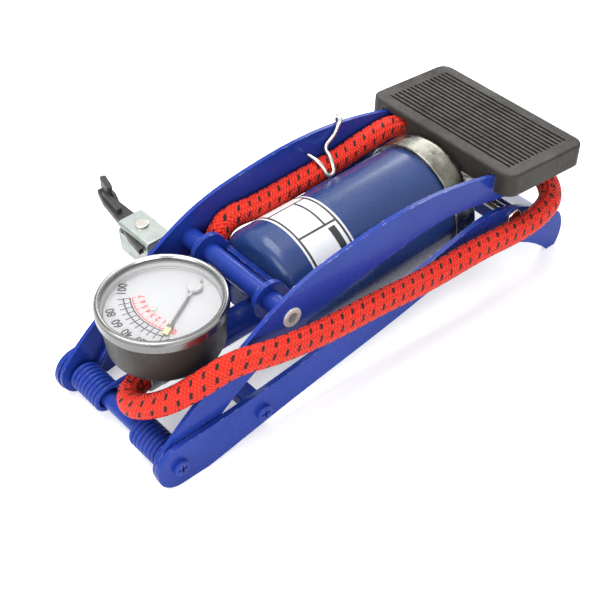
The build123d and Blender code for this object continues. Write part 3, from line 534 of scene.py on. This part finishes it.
def turned_ring(name):
    """Polished metal with fine rings about the gauge's own axis."""
    material, tree, surface = start_material(name, Metallic=1.0)
    reach = reach_from(tree, GAUGE_AXIS)
    rings = calculate(tree, "PINGPONG", reach, RING_STEP / 2)
    raised = spread(tree, rings, 0.0, RING_STEP / 2)
    stains = spread(tree, use_group(tree, clouds_group, Size=0.006, Fine_share=0.5), 0.42, 0.72)
    tone = mix_colour(tree, stains, (0.34, 0.34, 0.335, 1), (0.27, 0.27, 0.255, 1))
    # The ring valleys are painted near black and the crests keep the metal's tone: painted shade in
    # the grooves of the turning.
    link(tree, mix_colour(tree, raised, (0.15, 0.15, 0.15, 1), tone), surface, "Base Color")
    link(tree, spread(tree, stains, 0.0, 1.0, 0.24, 0.36), surface, "Roughness")
    bump(tree, surface, raised, 0.00006, 0.6)
    return material


bezel_metal = turned_ring("bezel_metal")

# %% [markdown]
# ## Plastics, rubber, glass and print
# Moulded plastics have a faint grain and scuffs on their edges; the pedal also holds dust in its
# grooves. The gauge case is pale inside, told apart by which way its surface faces. The lens
# lets shadow rays and most other light straight through, as a thin clear sheet does.


# %% Moulded plastics and rubber
def moulded(name, colour, scuff, roughness, grain_size, grain_depth, dust=0.0):
    material, tree, surface = start_material(name, IOR=1.48)
    surface.inputs["Specular IOR Level"].default_value = 0.25
    cloudy = spread(tree, use_group(tree, clouds_group, Size=0.018, Fine_share=0.4), 0.35, 0.7)
    tone = mix_colour(tree, cloudy, colour, [c * 0.72 for c in colour[:3]] + [1])
    worn = use_group(tree, edge_wear_group, Width=0.0006, Patchiness=0.42)
    rubbed = mix_colour(tree, calculate(tree, "MULTIPLY", worn, 0.7), tone, scuff)
    settled = use_group(tree, dust_group, Amount=dust, Size=0.006)
    link(tree, mix_colour(tree, settled, rubbed, (0.33, 0.31, 0.28, 1)), surface, "Base Color")
    link(tree, spread(tree, cloudy, 0.0, 1.0, roughness, roughness + 0.14), surface, "Roughness")
    bump(tree, surface, use_group(tree, grain_group, Size=grain_size, Pits=0.5), grain_depth, 0.7)
    return material


pedal_plastic = moulded(
    "pedal_plastic",
    colour=(0.030, 0.027, 0.023, 1),
    scuff=(0.09, 0.085, 0.08, 1),
    roughness=0.52,
    grain_size=0.0008,
    grain_depth=0.00010,
    dust=0.06,
)
case_plastic = moulded(
    "case_plastic",
    colour=(0.030, 0.028, 0.024, 1),
    scuff=(0.08, 0.08, 0.07, 1),
    roughness=0.38,
    grain_size=0.0020,
    grain_depth=0.00002,
)
lever_plastic = moulded(
    "lever_plastic",
    colour=(0.040, 0.037, 0.034, 1),
    scuff=(0.12, 0.12, 0.12, 1),
    roughness=0.42,
    grain_size=0.0007,
    grain_depth=0.00006,
    dust=0.04,
)
black_rubber = moulded(
    "black_rubber",
    colour=(0.018, 0.018, 0.018, 1),
    scuff=(0.05, 0.05, 0.05, 1),
    roughness=0.60,
    grain_size=0.0006,
    grain_depth=0.00006,
)


# %% Pale lining inside the gauge case
LINING_RING = 2.1 * MM


def line_case(material):
    """Turn the case pale wherever its surface faces up or towards the gauge's own axis."""
    tree = material.node_tree
    surface = tree.nodes["Principled BSDF"]
    outer = surface.inputs["Base Color"].links[0].from_socket
    spoke = vector_maths(tree, "SUBTRACT", flat_place(tree), GAUGE_AXIS).outputs[0]
    facing = node(tree, "ShaderNodeTexCoord").outputs["Normal"]
    outward = vector_maths(tree, "DOT_PRODUCT", facing, spoke).outputs["Value"]
    height = node(tree, "ShaderNodeSeparateXYZ", {0: position(tree)}).outputs["Z"]
    rings = calculate(tree, "FRACT", calculate(tree, "DIVIDE", height, LINING_RING))
    groove = spread(tree, rings, 0.0, 0.35)
    pale = mix_colour(tree, groove, (0.26, 0.26, 0.26, 1), (0.56, 0.56, 0.56, 1))
    walls = spread(tree, outward, -6 * MM, -12 * MM)
    upward = node(tree, "ShaderNodeSeparateXYZ", {0: facing}).outputs["Z"]
    inside = calculate(tree, "MAXIMUM", walls, spread(tree, upward, 0.4, 0.7))
    link(tree, mix_colour(tree, inside, outer, pale), surface, "Base Color")


line_case(case_plastic)
print("case lined")


# %% Lens
LENS_CLEAR = 0.92


def lens_material():
    material, tree, surface = start_material("lens", Transmission_Weight=1.0, IOR=1.22)
    smears = use_group(tree, clouds_group, Size=0.010, Fine_share=0.2)
    link(tree, spread(tree, smears, 0.5, 0.85, 0.0, 0.02), surface, "Roughness")
    surface.inputs["Base Color"].default_value = (0.98, 0.99, 0.99, 1)
    clear = node(tree, "ShaderNodeBsdfTransparent", {"Color": (0.95, 0.95, 0.95, 1)})
    shadow = node(tree, "ShaderNodeLightPath").outputs["Is Shadow Ray"]
    share = calculate(tree, "MAXIMUM", shadow, LENS_CLEAR)
    given = {0: share, 1: surface.outputs["BSDF"], 2: clear.outputs["BSDF"]}
    both = node(tree, "ShaderNodeMixShader", given)
    tree.links.new(both.outputs[0], tree.nodes["Material Output"].inputs["Surface"])
    return material


lens_clear = lens_material()


# %% Card, ink and film
def printed(name, colour, roughness):
    material, tree, surface = start_material(name)
    fibre = use_group(tree, clouds_group, Size=0.004, Fine_share=0.6)
    faded = [c * 0.94 for c in colour[:3]] + [1]
    tone = mix_colour(tree, spread(tree, fibre, 0.3, 0.8), colour, faded)
    link(tree, tone, surface, "Base Color")
    link(tree, spread(tree, fibre, 0.3, 0.8, roughness, roughness + 0.12), surface, "Roughness")
    bump(tree, surface, use_group(tree, grain_group, Size=0.0005, Pits=0.2), 0.00001, 0.4)
    return material


dial_card = printed("dial_card", (0.50, 0.50, 0.51, 1), 0.55)
black_ink = printed("black_ink", (0.03, 0.03, 0.035, 1), 0.35)
red_ink = printed("red_ink", (0.80, 0.06, 0.05, 1), 0.35)

# %% Needle
PIVOT = at(0, 42.4, 0)
HUB_RADIUS = 5.6 * MM
FLAG_START = 26.0 * MM


def needle_material():
    """Milky hub, dark pointer and cream tip, told apart by their distance from the pivot."""
    material, tree, surface = start_material("needle_finish", IOR=1.45)
    reach = reach_from(tree, PIVOT)
    grain = use_group(tree, clouds_group, Size=0.002, Fine_share=0.6)
    hub = mix_colour(tree, grain, (0.42, 0.42, 0.42, 1), (0.50, 0.50, 0.50, 1))
    pointer = mix_colour(tree, grain, (0.10, 0.10, 0.10, 1), (0.20, 0.20, 0.19, 1))
    flag = mix_colour(tree, grain, (0.72, 0.55, 0.27, 1), (0.80, 0.66, 0.40, 1))
    inner = mix_colour(tree, spread(tree, reach, HUB_RADIUS, HUB_RADIUS * 1.06), hub, pointer)
    at_flag = spread(tree, reach, FLAG_START, FLAG_START * 1.01)
    link(tree, mix_colour(tree, at_flag, inner, flag), surface, "Base Color")
    link(tree, spread(tree, grain, 0.2, 0.8, 0.32, 0.46), surface, "Roughness")
    return material


needle_finish = needle_material()
print(len(bpy.data.materials), "materials so far")

# %% [markdown]
# ## The woven sleeve
# Two sets of red yarn wind opposite ways, over and under each other, and black tracer yarns
# surface between them in short slanted dashes.
# The weave is worked out from the tube's own map, where U is the way round and V the metres
# along, so it keeps its size along the whole hose and follows every bend.


# %% Braid material
TRACERS = 7
DASH_STEP = 0.0059
DASH_LONG = 0.0014
DASH_WIDE = 0.0027
DASH_SLANT = 0.50
YARNS_ROUND = 13
YARN_SLANT = 1.6
GIRTH = math.tau * HOSE_RADIUS * MM


def off_centre(tree, value):
    """Signed distance of a value from the middle of its whole-number cell."""
    return calculate(tree, "SUBTRACT", calculate(tree, "FRACT", value), 0.5)


def dash_mask(tree, around, along):
    """Short slanted dashes in rows, each row set back from its neighbour by 3/7 of a step."""
    lanes = calculate(tree, "MULTIPLY", around, TRACERS)
    row = calculate(tree, "FLOOR", lanes)
    shift = calculate(tree, "MULTIPLY", row, 3 / TRACERS)
    steps = calculate(tree, "ADD", calculate(tree, "DIVIDE", along, DASH_STEP), shift)
    across = calculate(tree, "MULTIPLY", off_centre(tree, lanes), GIRTH / TRACERS)
    down = calculate(tree, "MULTIPLY", off_centre(tree, steps), DASH_STEP)
    leaned = calculate(tree, "ADD", down, calculate(tree, "MULTIPLY", across, DASH_SLANT))
    narrow = spread(tree, calculate(tree, "ABSOLUTE", leaned), DASH_LONG * 0.68, DASH_LONG * 0.34)
    short = spread(tree, calculate(tree, "ABSOLUTE", across), DASH_WIDE * 0.60, DASH_WIDE * 0.38)
    return calculate(tree, "MULTIPLY", narrow, short)


def plain_weave(tree, around, along):
    """Height of two sets of yarns that wind opposite ways, one over, one under."""
    turns = calculate(tree, "MULTIPLY", calculate(tree, "DIVIDE", along, GIRTH), YARN_SLANT)
    rising = calculate(tree, "MULTIPLY", calculate(tree, "ADD", around, turns), YARNS_ROUND)
    falling = calculate(tree, "MULTIPLY", calculate(tree, "SUBTRACT", around, turns), YARNS_ROUND)
    up, down = (calculate(tree, "FLOOR", yarns) for yarns in (rising, falling))
    cell = calculate(tree, "ADD", up, down)
    over = calculate(tree, "ABSOLUTE", calculate(tree, "MODULO", cell, 2.0))
    round_a = spread(tree, calculate(tree, "ABSOLUTE", off_centre(tree, rising)), 0.5, 0.05)
    round_b = spread(tree, calculate(tree, "ABSOLUTE", off_centre(tree, falling)), 0.5, 0.05)
    return node(tree, "ShaderNodeMix", {"Factor": over, 2: round_b, 3: round_a}).outputs[0]


def braid_material():
    sheen = {"Sheen_Roughness": 0.5, "Sheen_Weight": 0.03}
    material, tree, surface = start_material("braid", IOR=1.45, **sheen)
    surface.inputs["Sheen Tint"].default_value = (1.0, 0.45, 0.35, 1)
    surface.inputs["Specular IOR Level"].default_value = 0.25
    weave = node(tree, "ShaderNodeUVMap", uv_map="weave").outputs[0]
    both = node(tree, "ShaderNodeSeparateXYZ", {0: weave})
    around, along = both.outputs["X"], both.outputs["Y"]
    wobble = calculate(tree, "MULTIPLY", noise(tree, position(tree), 700.0, 2), 0.0007)
    along = calculate(tree, "ADD", along, wobble)
    height = plain_weave(tree, around, along)
    tracer = dash_mask(tree, around, along)
    fuzz = noise(tree, position(tree), 5200.0, 2)
    # The red is painted darker down between the yarns and brighter on their crowns: painted shade
    # in the weave's valleys.
    red = mix_colour(tree, height, (0.60, 0.008, 0.004, 1), (1.0, 0.040, 0.018, 1))
    red = mix_colour(tree, calculate(tree, "MULTIPLY", fuzz, 0.15), red, (1.0, 0.12, 0.06, 1))
    black = mix_colour(tree, fuzz, (0.008, 0.006, 0.006, 1), (0.04, 0.02, 0.02, 1))
    link(tree, mix_colour(tree, tracer, red, black), surface, "Base Color")
    link(tree, spread(tree, fuzz, 0.2, 0.8, 0.45, 0.62), surface, "Roughness")
    raised = calculate(tree, "ADD", height, calculate(tree, "MULTIPLY", fuzz, 0.3))
    bump(tree, surface, raised, 0.00075, 1.0)
    return material


braid = braid_material()
braided_hose.data.materials.append(braid)
print("braid with", TRACERS, "tracer rows and", YARNS_ROUND, "yarns each way")

# %% [markdown]
# ## The label
# A white film wrapped over the barrel, with black frame lines near its edges, plain panels and
# one solid bar. The print that a real one carries is left off. The lines are a mask worked out
# from the angle round the barrel and the place along it, so they lie exactly on the film with
# no mesh of their own.

# %% Label material
BARREL_AXIS_Z = 36.2 * MM
LABEL_LOW, LABEL_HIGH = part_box("cylinder_label")
LABEL_RADIUS = LABEL_HIGH[2] - BARREL_AXIS_Z


def line_mask(tree, value, centre, half_width):
    off = calculate(tree, "ABSOLUTE", calculate(tree, "SUBTRACT", value, centre))
    return spread(tree, off, half_width * 1.25, half_width * 0.75)


def between(tree, value, low, high):
    above = calculate(tree, "GREATER_THAN", value, low)
    below = calculate(tree, "LESS_THAN", value, high)
    return calculate(tree, "MULTIPLY", above, below)


def label_material():
    material, tree, surface = start_material("label_film", Coat_Weight=0.15, Coat_Roughness=0.2)
    parts = node(tree, "ShaderNodeSeparateXYZ", {0: position(tree)}).outputs
    height = calculate(tree, "SUBTRACT", parts["Z"], BARREL_AXIS_Z)
    angle = calculate(tree, "ARCTAN2", parts["X"], height)
    round_m = calculate(tree, "MULTIPLY", angle, LABEL_RADIUS)
    y = parts["Y"]
    inset, line, side = 0.0016, 0.0006, 0.0345
    panel_low, panel_high, strip = -0.012, 0.010, 0.0062
    bar_gap, bar_edge = 0.002, 0.0025
    front, rear = LABEL_LOW[1] + inset, LABEL_HIGH[1] - inset
    rails = between(tree, round_m, -side, side)
    rims = between(tree, y, front, rear)
    marks = []
    for place in (front, rear):
        marks.append(calculate(tree, "MULTIPLY", line_mask(tree, y, place, line), rails))
    for place in (-side, panel_low, panel_high, side):
        marks.append(calculate(tree, "MULTIPLY", line_mask(tree, round_m, place, line), rims))
    inner = between(tree, round_m, panel_low, panel_high)
    marks.append(calculate(tree, "MULTIPLY", line_mask(tree, y, rear - strip, line), inner))
    outer = between(tree, round_m, panel_high + bar_gap, side - bar_gap)
    bar = between(tree, y, rear - strip, rear - bar_edge)
    marks.append(calculate(tree, "MULTIPLY", bar, outer))
    total = marks[0]
    for mark in marks[1:]:
        total = calculate(tree, "MAXIMUM", total, mark)
    fibre = use_group(tree, clouds_group, Size=0.010, Fine_share=0.4)
    cloudy = spread(tree, fibre, 0.35, 0.75)
    film = mix_colour(tree, cloudy, (0.74, 0.74, 0.73, 1), (0.66, 0.67, 0.68, 1))
    link(tree, mix_colour(tree, total, film, (0.02, 0.02, 0.022, 1)), surface, "Base Color")
    link(tree, spread(tree, fibre, 0.3, 0.8, 0.26, 0.40), surface, "Roughness")
    bump(tree, surface, use_group(tree, grain_group, Size=0.004, Pits=0.1), 0.00003, 0.4)
    return material


label_film = label_material()
print("label", [round(v, 4) for v in LABEL_LOW], [round(v, 4) for v in LABEL_HIGH])

# %% [markdown]
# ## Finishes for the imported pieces
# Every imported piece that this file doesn't replace gets one of the materials above, by name.

# %% Assign the finishes
finishes = {
    "base_rail_left base_rail_right rear_cross_plate front_cross_bar": frame_paint,
    "hinge_rod lever_arm_left lever_arm_right cross_tube pedal_bridge": frame_paint,
    "pedal_bridge_rivets barrel_bracket hinge_screws front_bar_screws outlet_tee": frame_paint,
    "barrel": barrel_paint,
    "cylinder_label": label_film,
    "end_cap rod_guide_bush": cap_plating,
    "rear_pin rear_pin_washers": bright_zinc,
    "cross_tube_rivets": rivet_zinc,
    "pedal_screws gauge_dial_screws hose_keeper chuck_pin": bright_zinc,
    "piston_rod piston_plates piston_nuts": turned_steel,
    "chuck_body": cast_zinc,
    "gauge_bezel": bezel_metal,
    "hose_ferrule": cast_zinc,
    "gauge_stem gauge_movement gauge_bourdon_tube": brass,
    "gauge_case": case_plastic,
    "gauge_dial": dial_card,
    "gauge_lens": lens_clear,
    "gauge_needle": needle_finish,
    "pedal_pad": pedal_plastic,
    "chuck_lever": lever_plastic,
    "check_valve_disc chuck_seal piston_cup": black_rubber,
}


def give(packed, material):
    """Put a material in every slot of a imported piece."""
    if not packed.data.materials:
        packed.data.materials.append(material)
    for i in range(len(packed.data.materials)):
        packed.data.materials[i] = material


for names, material in finishes.items():
    for name in names.split():
        give(nodes[name], material)
print(sum(len(names.split()) for names in finishes), "packed pieces finished")

# %% [markdown]
# ## The springs
# Each torsion spring is a coil on the hinge rod with one leg lying back on the front bar and the
# other hooked into the lever arm. The imported springs are plain sleeves that can't flex, so wound
# wire replaces them.

# %% Coil springs
WIRE = 1.25
WIRE_SIDES = 14
COIL_RADIUS = 6.2
PITCH = 2.6
HINGE_Z = 11.0
BAR_LEG_TIP = 48.0
HOOK = (16.5, 22.0)
HOOK_END_X = 36.3
TURNS = 8
COIL_STEPS = 260
BAR_LEG_STEPS = 8
HOOK_LEG_STEPS = 6
ARM_INSIDE = 34.5
spring_outer_x = ARM_INSIDE - 0.6 - WIRE


def spring_line(side):
    """Centre line of one spring in millimetres; side is 1 for the right, -1 for the left."""
    rise = HOOK[1] - HINGE_Z
    aim = math.atan2(rise, HOOK[0])
    leave = aim - math.acos(COIL_RADIUS / math.hypot(HOOK[0], rise))
    start = math.radians(90)
    sweep = leave - start + math.tau * TURNS
    inner_x = spring_outer_x - sweep / math.tau * PITCH
    top = HINGE_Z + COIL_RADIUS
    shares = [t / BAR_LEG_STEPS for t in range(BAR_LEG_STEPS)]
    points = [(inner_x, BAR_LEG_TIP * (1 - share), top) for share in shares]
    for i in range(COIL_STEPS + 1):
        angle = start + sweep * i / COIL_STEPS
        across = inner_x + (spring_outer_x - inner_x) * i / COIL_STEPS
        back = COIL_RADIUS * math.cos(angle)
        points.append((across, back, HINGE_Z + COIL_RADIUS * math.sin(angle)))
    leg_start = points[-1]
    leg = (spring_outer_x, HOOK[0], HOOK[1])
    for t in range(1, HOOK_LEG_STEPS + 1):
        points.append(tuple(a + (b - a) * t / HOOK_LEG_STEPS for a, b in zip(leg_start, leg)))
    points.append((HOOK_END_X, HOOK[0], HOOK[1]))
    return [at(side * x, y, z) for x, y, z in points]


for side, word in ((1, "right"), (-1, "left")):
    coil = sleeve("coil_spring_" + word, spring_line(side), WIRE * MM, WIRE_SIDES)
    coil.data.materials.append(frame_paint)
    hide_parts("torsion_spring_" + word)
    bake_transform(coil)
    print(coil.name, len(coil.data.vertices), "points")

# %% [markdown]
# ## The dial's print
# The scale is a ladder of two arcs about the needle's pivot with marks across it, and a red arc
# inside it with its own marks. Marks and figures are thin meshes a hair above the card, so they
# stay sharp from any side. Figures stand with their feet to the pivot, so they read upright
# from the pedal end, where the user stands.

# %% Dial sizes
PRINT_LIFT = 0.04
PRINT_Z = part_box("gauge_dial")[1][2] / MM + PRINT_LIFT
ZERO_ANGLE = 27.5
FULL_ANGLE = -31.0
BLACK_ARCS = (27.6, 30.4)
BLACK_MARK_END = 33.0
BLACK_STEPS = 10
RED_ARC = 26.6
RED_LONG_START, RED_SHORT_START = 24.9, 25.7
RED_STEPS = 14
BLACK_ARC_WIDTH, BLACK_MARK_WIDTH = 0.55, 0.5
RED_ARC_WIDTH, RED_MARK_WIDTH = 0.40, 0.34
FIGURE_SIZE, FIGURE_RADIUS = 5.3, 36.8
RED_FIGURE_SIZE, RED_FIGURE_RADIUS = 3.7, 22.6


def scale_angle(share):
    """Angle in radians from the centre line for a share of the full scale."""
    return math.radians(ZERO_ANGLE + (FULL_ANGLE - ZERO_ANGLE) * share)


def on_dial(radius, angle):
    out = Vector((math.sin(angle), -math.cos(angle), 0)) * radius
    return PIVOT + (out + Vector((0, 0, PRINT_Z))) * MM


# %% Arcs and marks
def add_arc(shape, radius, width, start, end, steps=48):
    """Flat strip along an arc about the pivot."""
    edges = []
    for i in range(steps + 1):
        angle = start + (end - start) * i / steps
        pair = [shape.verts.new(on_dial(radius + d, angle)) for d in (-width / 2, width / 2)]
        edges.append(pair)
    for (a, b), (c, d) in zip(edges, edges[1:]):
        shape.faces.new((a, b, d, c))


def add_mark(shape, angle, inner, outer, width):
    """Flat radial line."""
    half = width / 2
    corners = []
    for radius, push in ((inner, -half), (outer, -half), (outer, half), (inner, half)):
        corners.append(shape.verts.new(on_dial(radius, angle + push / radius)))
    shape.faces.new(corners)


def print_mesh(name, shape, ink):
    """Finish a print mesh and let it ride with the gauge."""
    bmesh.ops.recalc_face_normals(shape, faces=shape.faces)
    mesh = bpy.data.meshes.new(name)
    shape.to_mesh(mesh)
    shape.free()
    piece = add_piece(name, mesh, smooth=False)
    mesh.materials.append(ink)
    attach(piece, "cylinder")


scale = bmesh.new()
for radius in BLACK_ARCS:
    add_arc(scale, radius, BLACK_ARC_WIDTH, scale_angle(0), scale_angle(1))
for i in range(BLACK_STEPS + 1):
    angle = scale_angle(i / BLACK_STEPS)
    add_mark(scale, angle, BLACK_ARCS[0], BLACK_MARK_END, BLACK_MARK_WIDTH)
print_mesh("dial_scale_black", scale, black_ink)

scale = bmesh.new()
add_arc(scale, RED_ARC, RED_ARC_WIDTH, scale_angle(0), scale_angle(1))
for i in range(RED_STEPS + 1):
    start = RED_SHORT_START if i % 2 else RED_LONG_START
    add_mark(scale, scale_angle(i / RED_STEPS), start, RED_ARC, RED_MARK_WIDTH)
print_mesh("dial_scale_red", scale, red_ink)
print("scale marks made")


# %% Figures
def add_figures(shape, text, size, radius, angle):
    """Lay a number on the dial with its feet to the pivot."""
    font = bpy.data.curves.new("figures", "FONT")
    font.body = text
    font.size = size * MM
    font.align_x = "CENTER"
    font.align_y = "CENTER"
    font.resolution_u = 3
    font.space_character = 0.95
    font.offset = 0.12 * MM
    holder = bpy.data.objects.new("figures", font)
    bpy.context.scene.collection.objects.link(holder)
    flat = bpy.data.meshes.new_from_object(holder)
    outward = Vector((math.sin(angle), -math.cos(angle), 0))
    reading = Vector((-math.cos(angle), -math.sin(angle), 0))
    place = Matrix((reading, outward, Vector((0, 0, 1)))).transposed().to_4x4()
    flat.transform(Matrix.Translation(on_dial(radius, angle)) @ place)
    shape.from_mesh(flat)
    bpy.data.objects.remove(holder)
    bpy.data.curves.remove(font)
    bpy.data.meshes.remove(flat)


figures = bmesh.new()
for i in range(1, 5):
    add_figures(figures, str(20 * i), FIGURE_SIZE, FIGURE_RADIUS, scale_angle(i / 5))
add_figures(figures, "100", FIGURE_SIZE, 31.0, scale_angle(1) - math.radians(11.5))
add_figures(figures, "0", 4.9, 32.6, scale_angle(0) + math.radians(6.0))
print_mesh("dial_figures_black", figures, black_ink)

figures = bmesh.new()
for i in range(1, 8):
    add_figures(figures, str(i), RED_FIGURE_SIZE, RED_FIGURE_RADIUS, scale_angle(i / 7))
add_figures(figures, "0", RED_FIGURE_SIZE, 26.6, scale_angle(0) + math.radians(7.0))
print_mesh("dial_figures_red", figures, red_ink)
print("figures made")

# %% [markdown]
# ## Floor, backdrop and light
# A pale seamless floor and four soft boxes: a large one overhead, a low one before the hinge
# end, one at the right side for the rails and the hose, and a rim light from behind. The floor
# and the world are white to the camera and in reflections, and dimmer as light, so that the
# background is pale while the object's own colours stay as they are written.


# %% Floor and backdrop
FLOOR_LIFT = 0.40


def seen_ray(tree):
    """1 for rays that show the backdrop, straight or in metal and glass; 0 for light."""
    path = node(tree, "ShaderNodeLightPath").outputs
    mirrored = calculate(tree, "MAXIMUM", path["Is Glossy Ray"], path["Is Transmission Ray"])
    return calculate(tree, "MAXIMUM", path["Is Camera Ray"], mirrored)


def floor_material():
    material, tree, surface = start_material("studio_floor", Roughness=0.9)
    surface.inputs["Specular IOR Level"].default_value = 0.1
    paper = use_group(tree, clouds_group, Size=0.2, Fine_share=0.2)
    cloudy = spread(tree, paper, 0.3, 0.8)
    tone = mix_colour(tree, cloudy, (0.92, 0.92, 0.92, 1), (0.90, 0.90, 0.905, 1))
    link(tree, tone, surface, "Base Color")
    lift = calculate(tree, "MULTIPLY", seen_ray(tree), FLOOR_LIFT)
    glow = node(tree, "ShaderNodeEmission", {"Color": (1, 1, 1, 1), "Strength": lift})
    given = {0: surface.outputs["BSDF"], 1: glow.outputs[0]}
    both = node(tree, "ShaderNodeAddShader", given)
    tree.links.new(both.outputs[0], tree.nodes["Material Output"].inputs["Surface"])
    return material


floor_shape = bmesh.new()
bmesh.ops.create_grid(floor_shape, x_segments=2, y_segments=2, size=3.0)
floor_mesh = bpy.data.meshes.new("studio_floor")
floor_shape.to_mesh(floor_mesh)
floor_shape.free()
floor = add_piece("studio_floor", floor_mesh, smooth=False)
floor.data.materials.append(floor_material())

world = bpy.data.worlds.new("studio")
world.use_nodes = True
bpy.context.scene.world = world
sky = world.node_tree
sky.nodes.clear()
white = node(sky, "ShaderNodeBackground", {"Color": (1, 1, 1, 1), "Strength": 1.0})
fill = node(sky, "ShaderNodeBackground", {"Color": (0.93, 0.95, 1, 1), "Strength": 0.55})
both = node(sky, "ShaderNodeMixShader", {0: seen_ray(sky), 1: fill.outputs[0], 2: white.outputs[0]})
node(sky, "ShaderNodeOutputWorld", {"Surface": both.outputs[0]})
print("floor and world set")


# %% Lights
def soft_box(name, place, aim, width, depth, power):
    """Rectangular area light at a place, facing a point."""
    data = bpy.data.lights.new(name, "AREA")
    data.shape = "RECTANGLE"
    data.size = width
    data.size_y = depth
    data.energy = power
    lamp = bpy.data.objects.new(name, data)
    lamp.location = place
    lamp.rotation_euler = (Vector(aim) - Vector(place)).to_track_quat("-Z", "Y").to_euler()
    bpy.context.scene.collection.objects.link(lamp)


soft_box("key_box", (-0.25, -0.05, 0.95), (0, 0, 0), 0.9, 0.7, 11.5)
soft_box("low_box", (0.15, -1.0, 0.45), (0, 0, 0.03), 0.7, 0.5, 4.5)
soft_box("side_box", (0.95, -0.35, 0.45), (0, 0, 0.03), 0.7, 0.5, 5.5)
soft_box("rim_box", (-0.6, 0.9, 0.6), (0, 0, 0.03), 0.6, 0.4, 5.0)
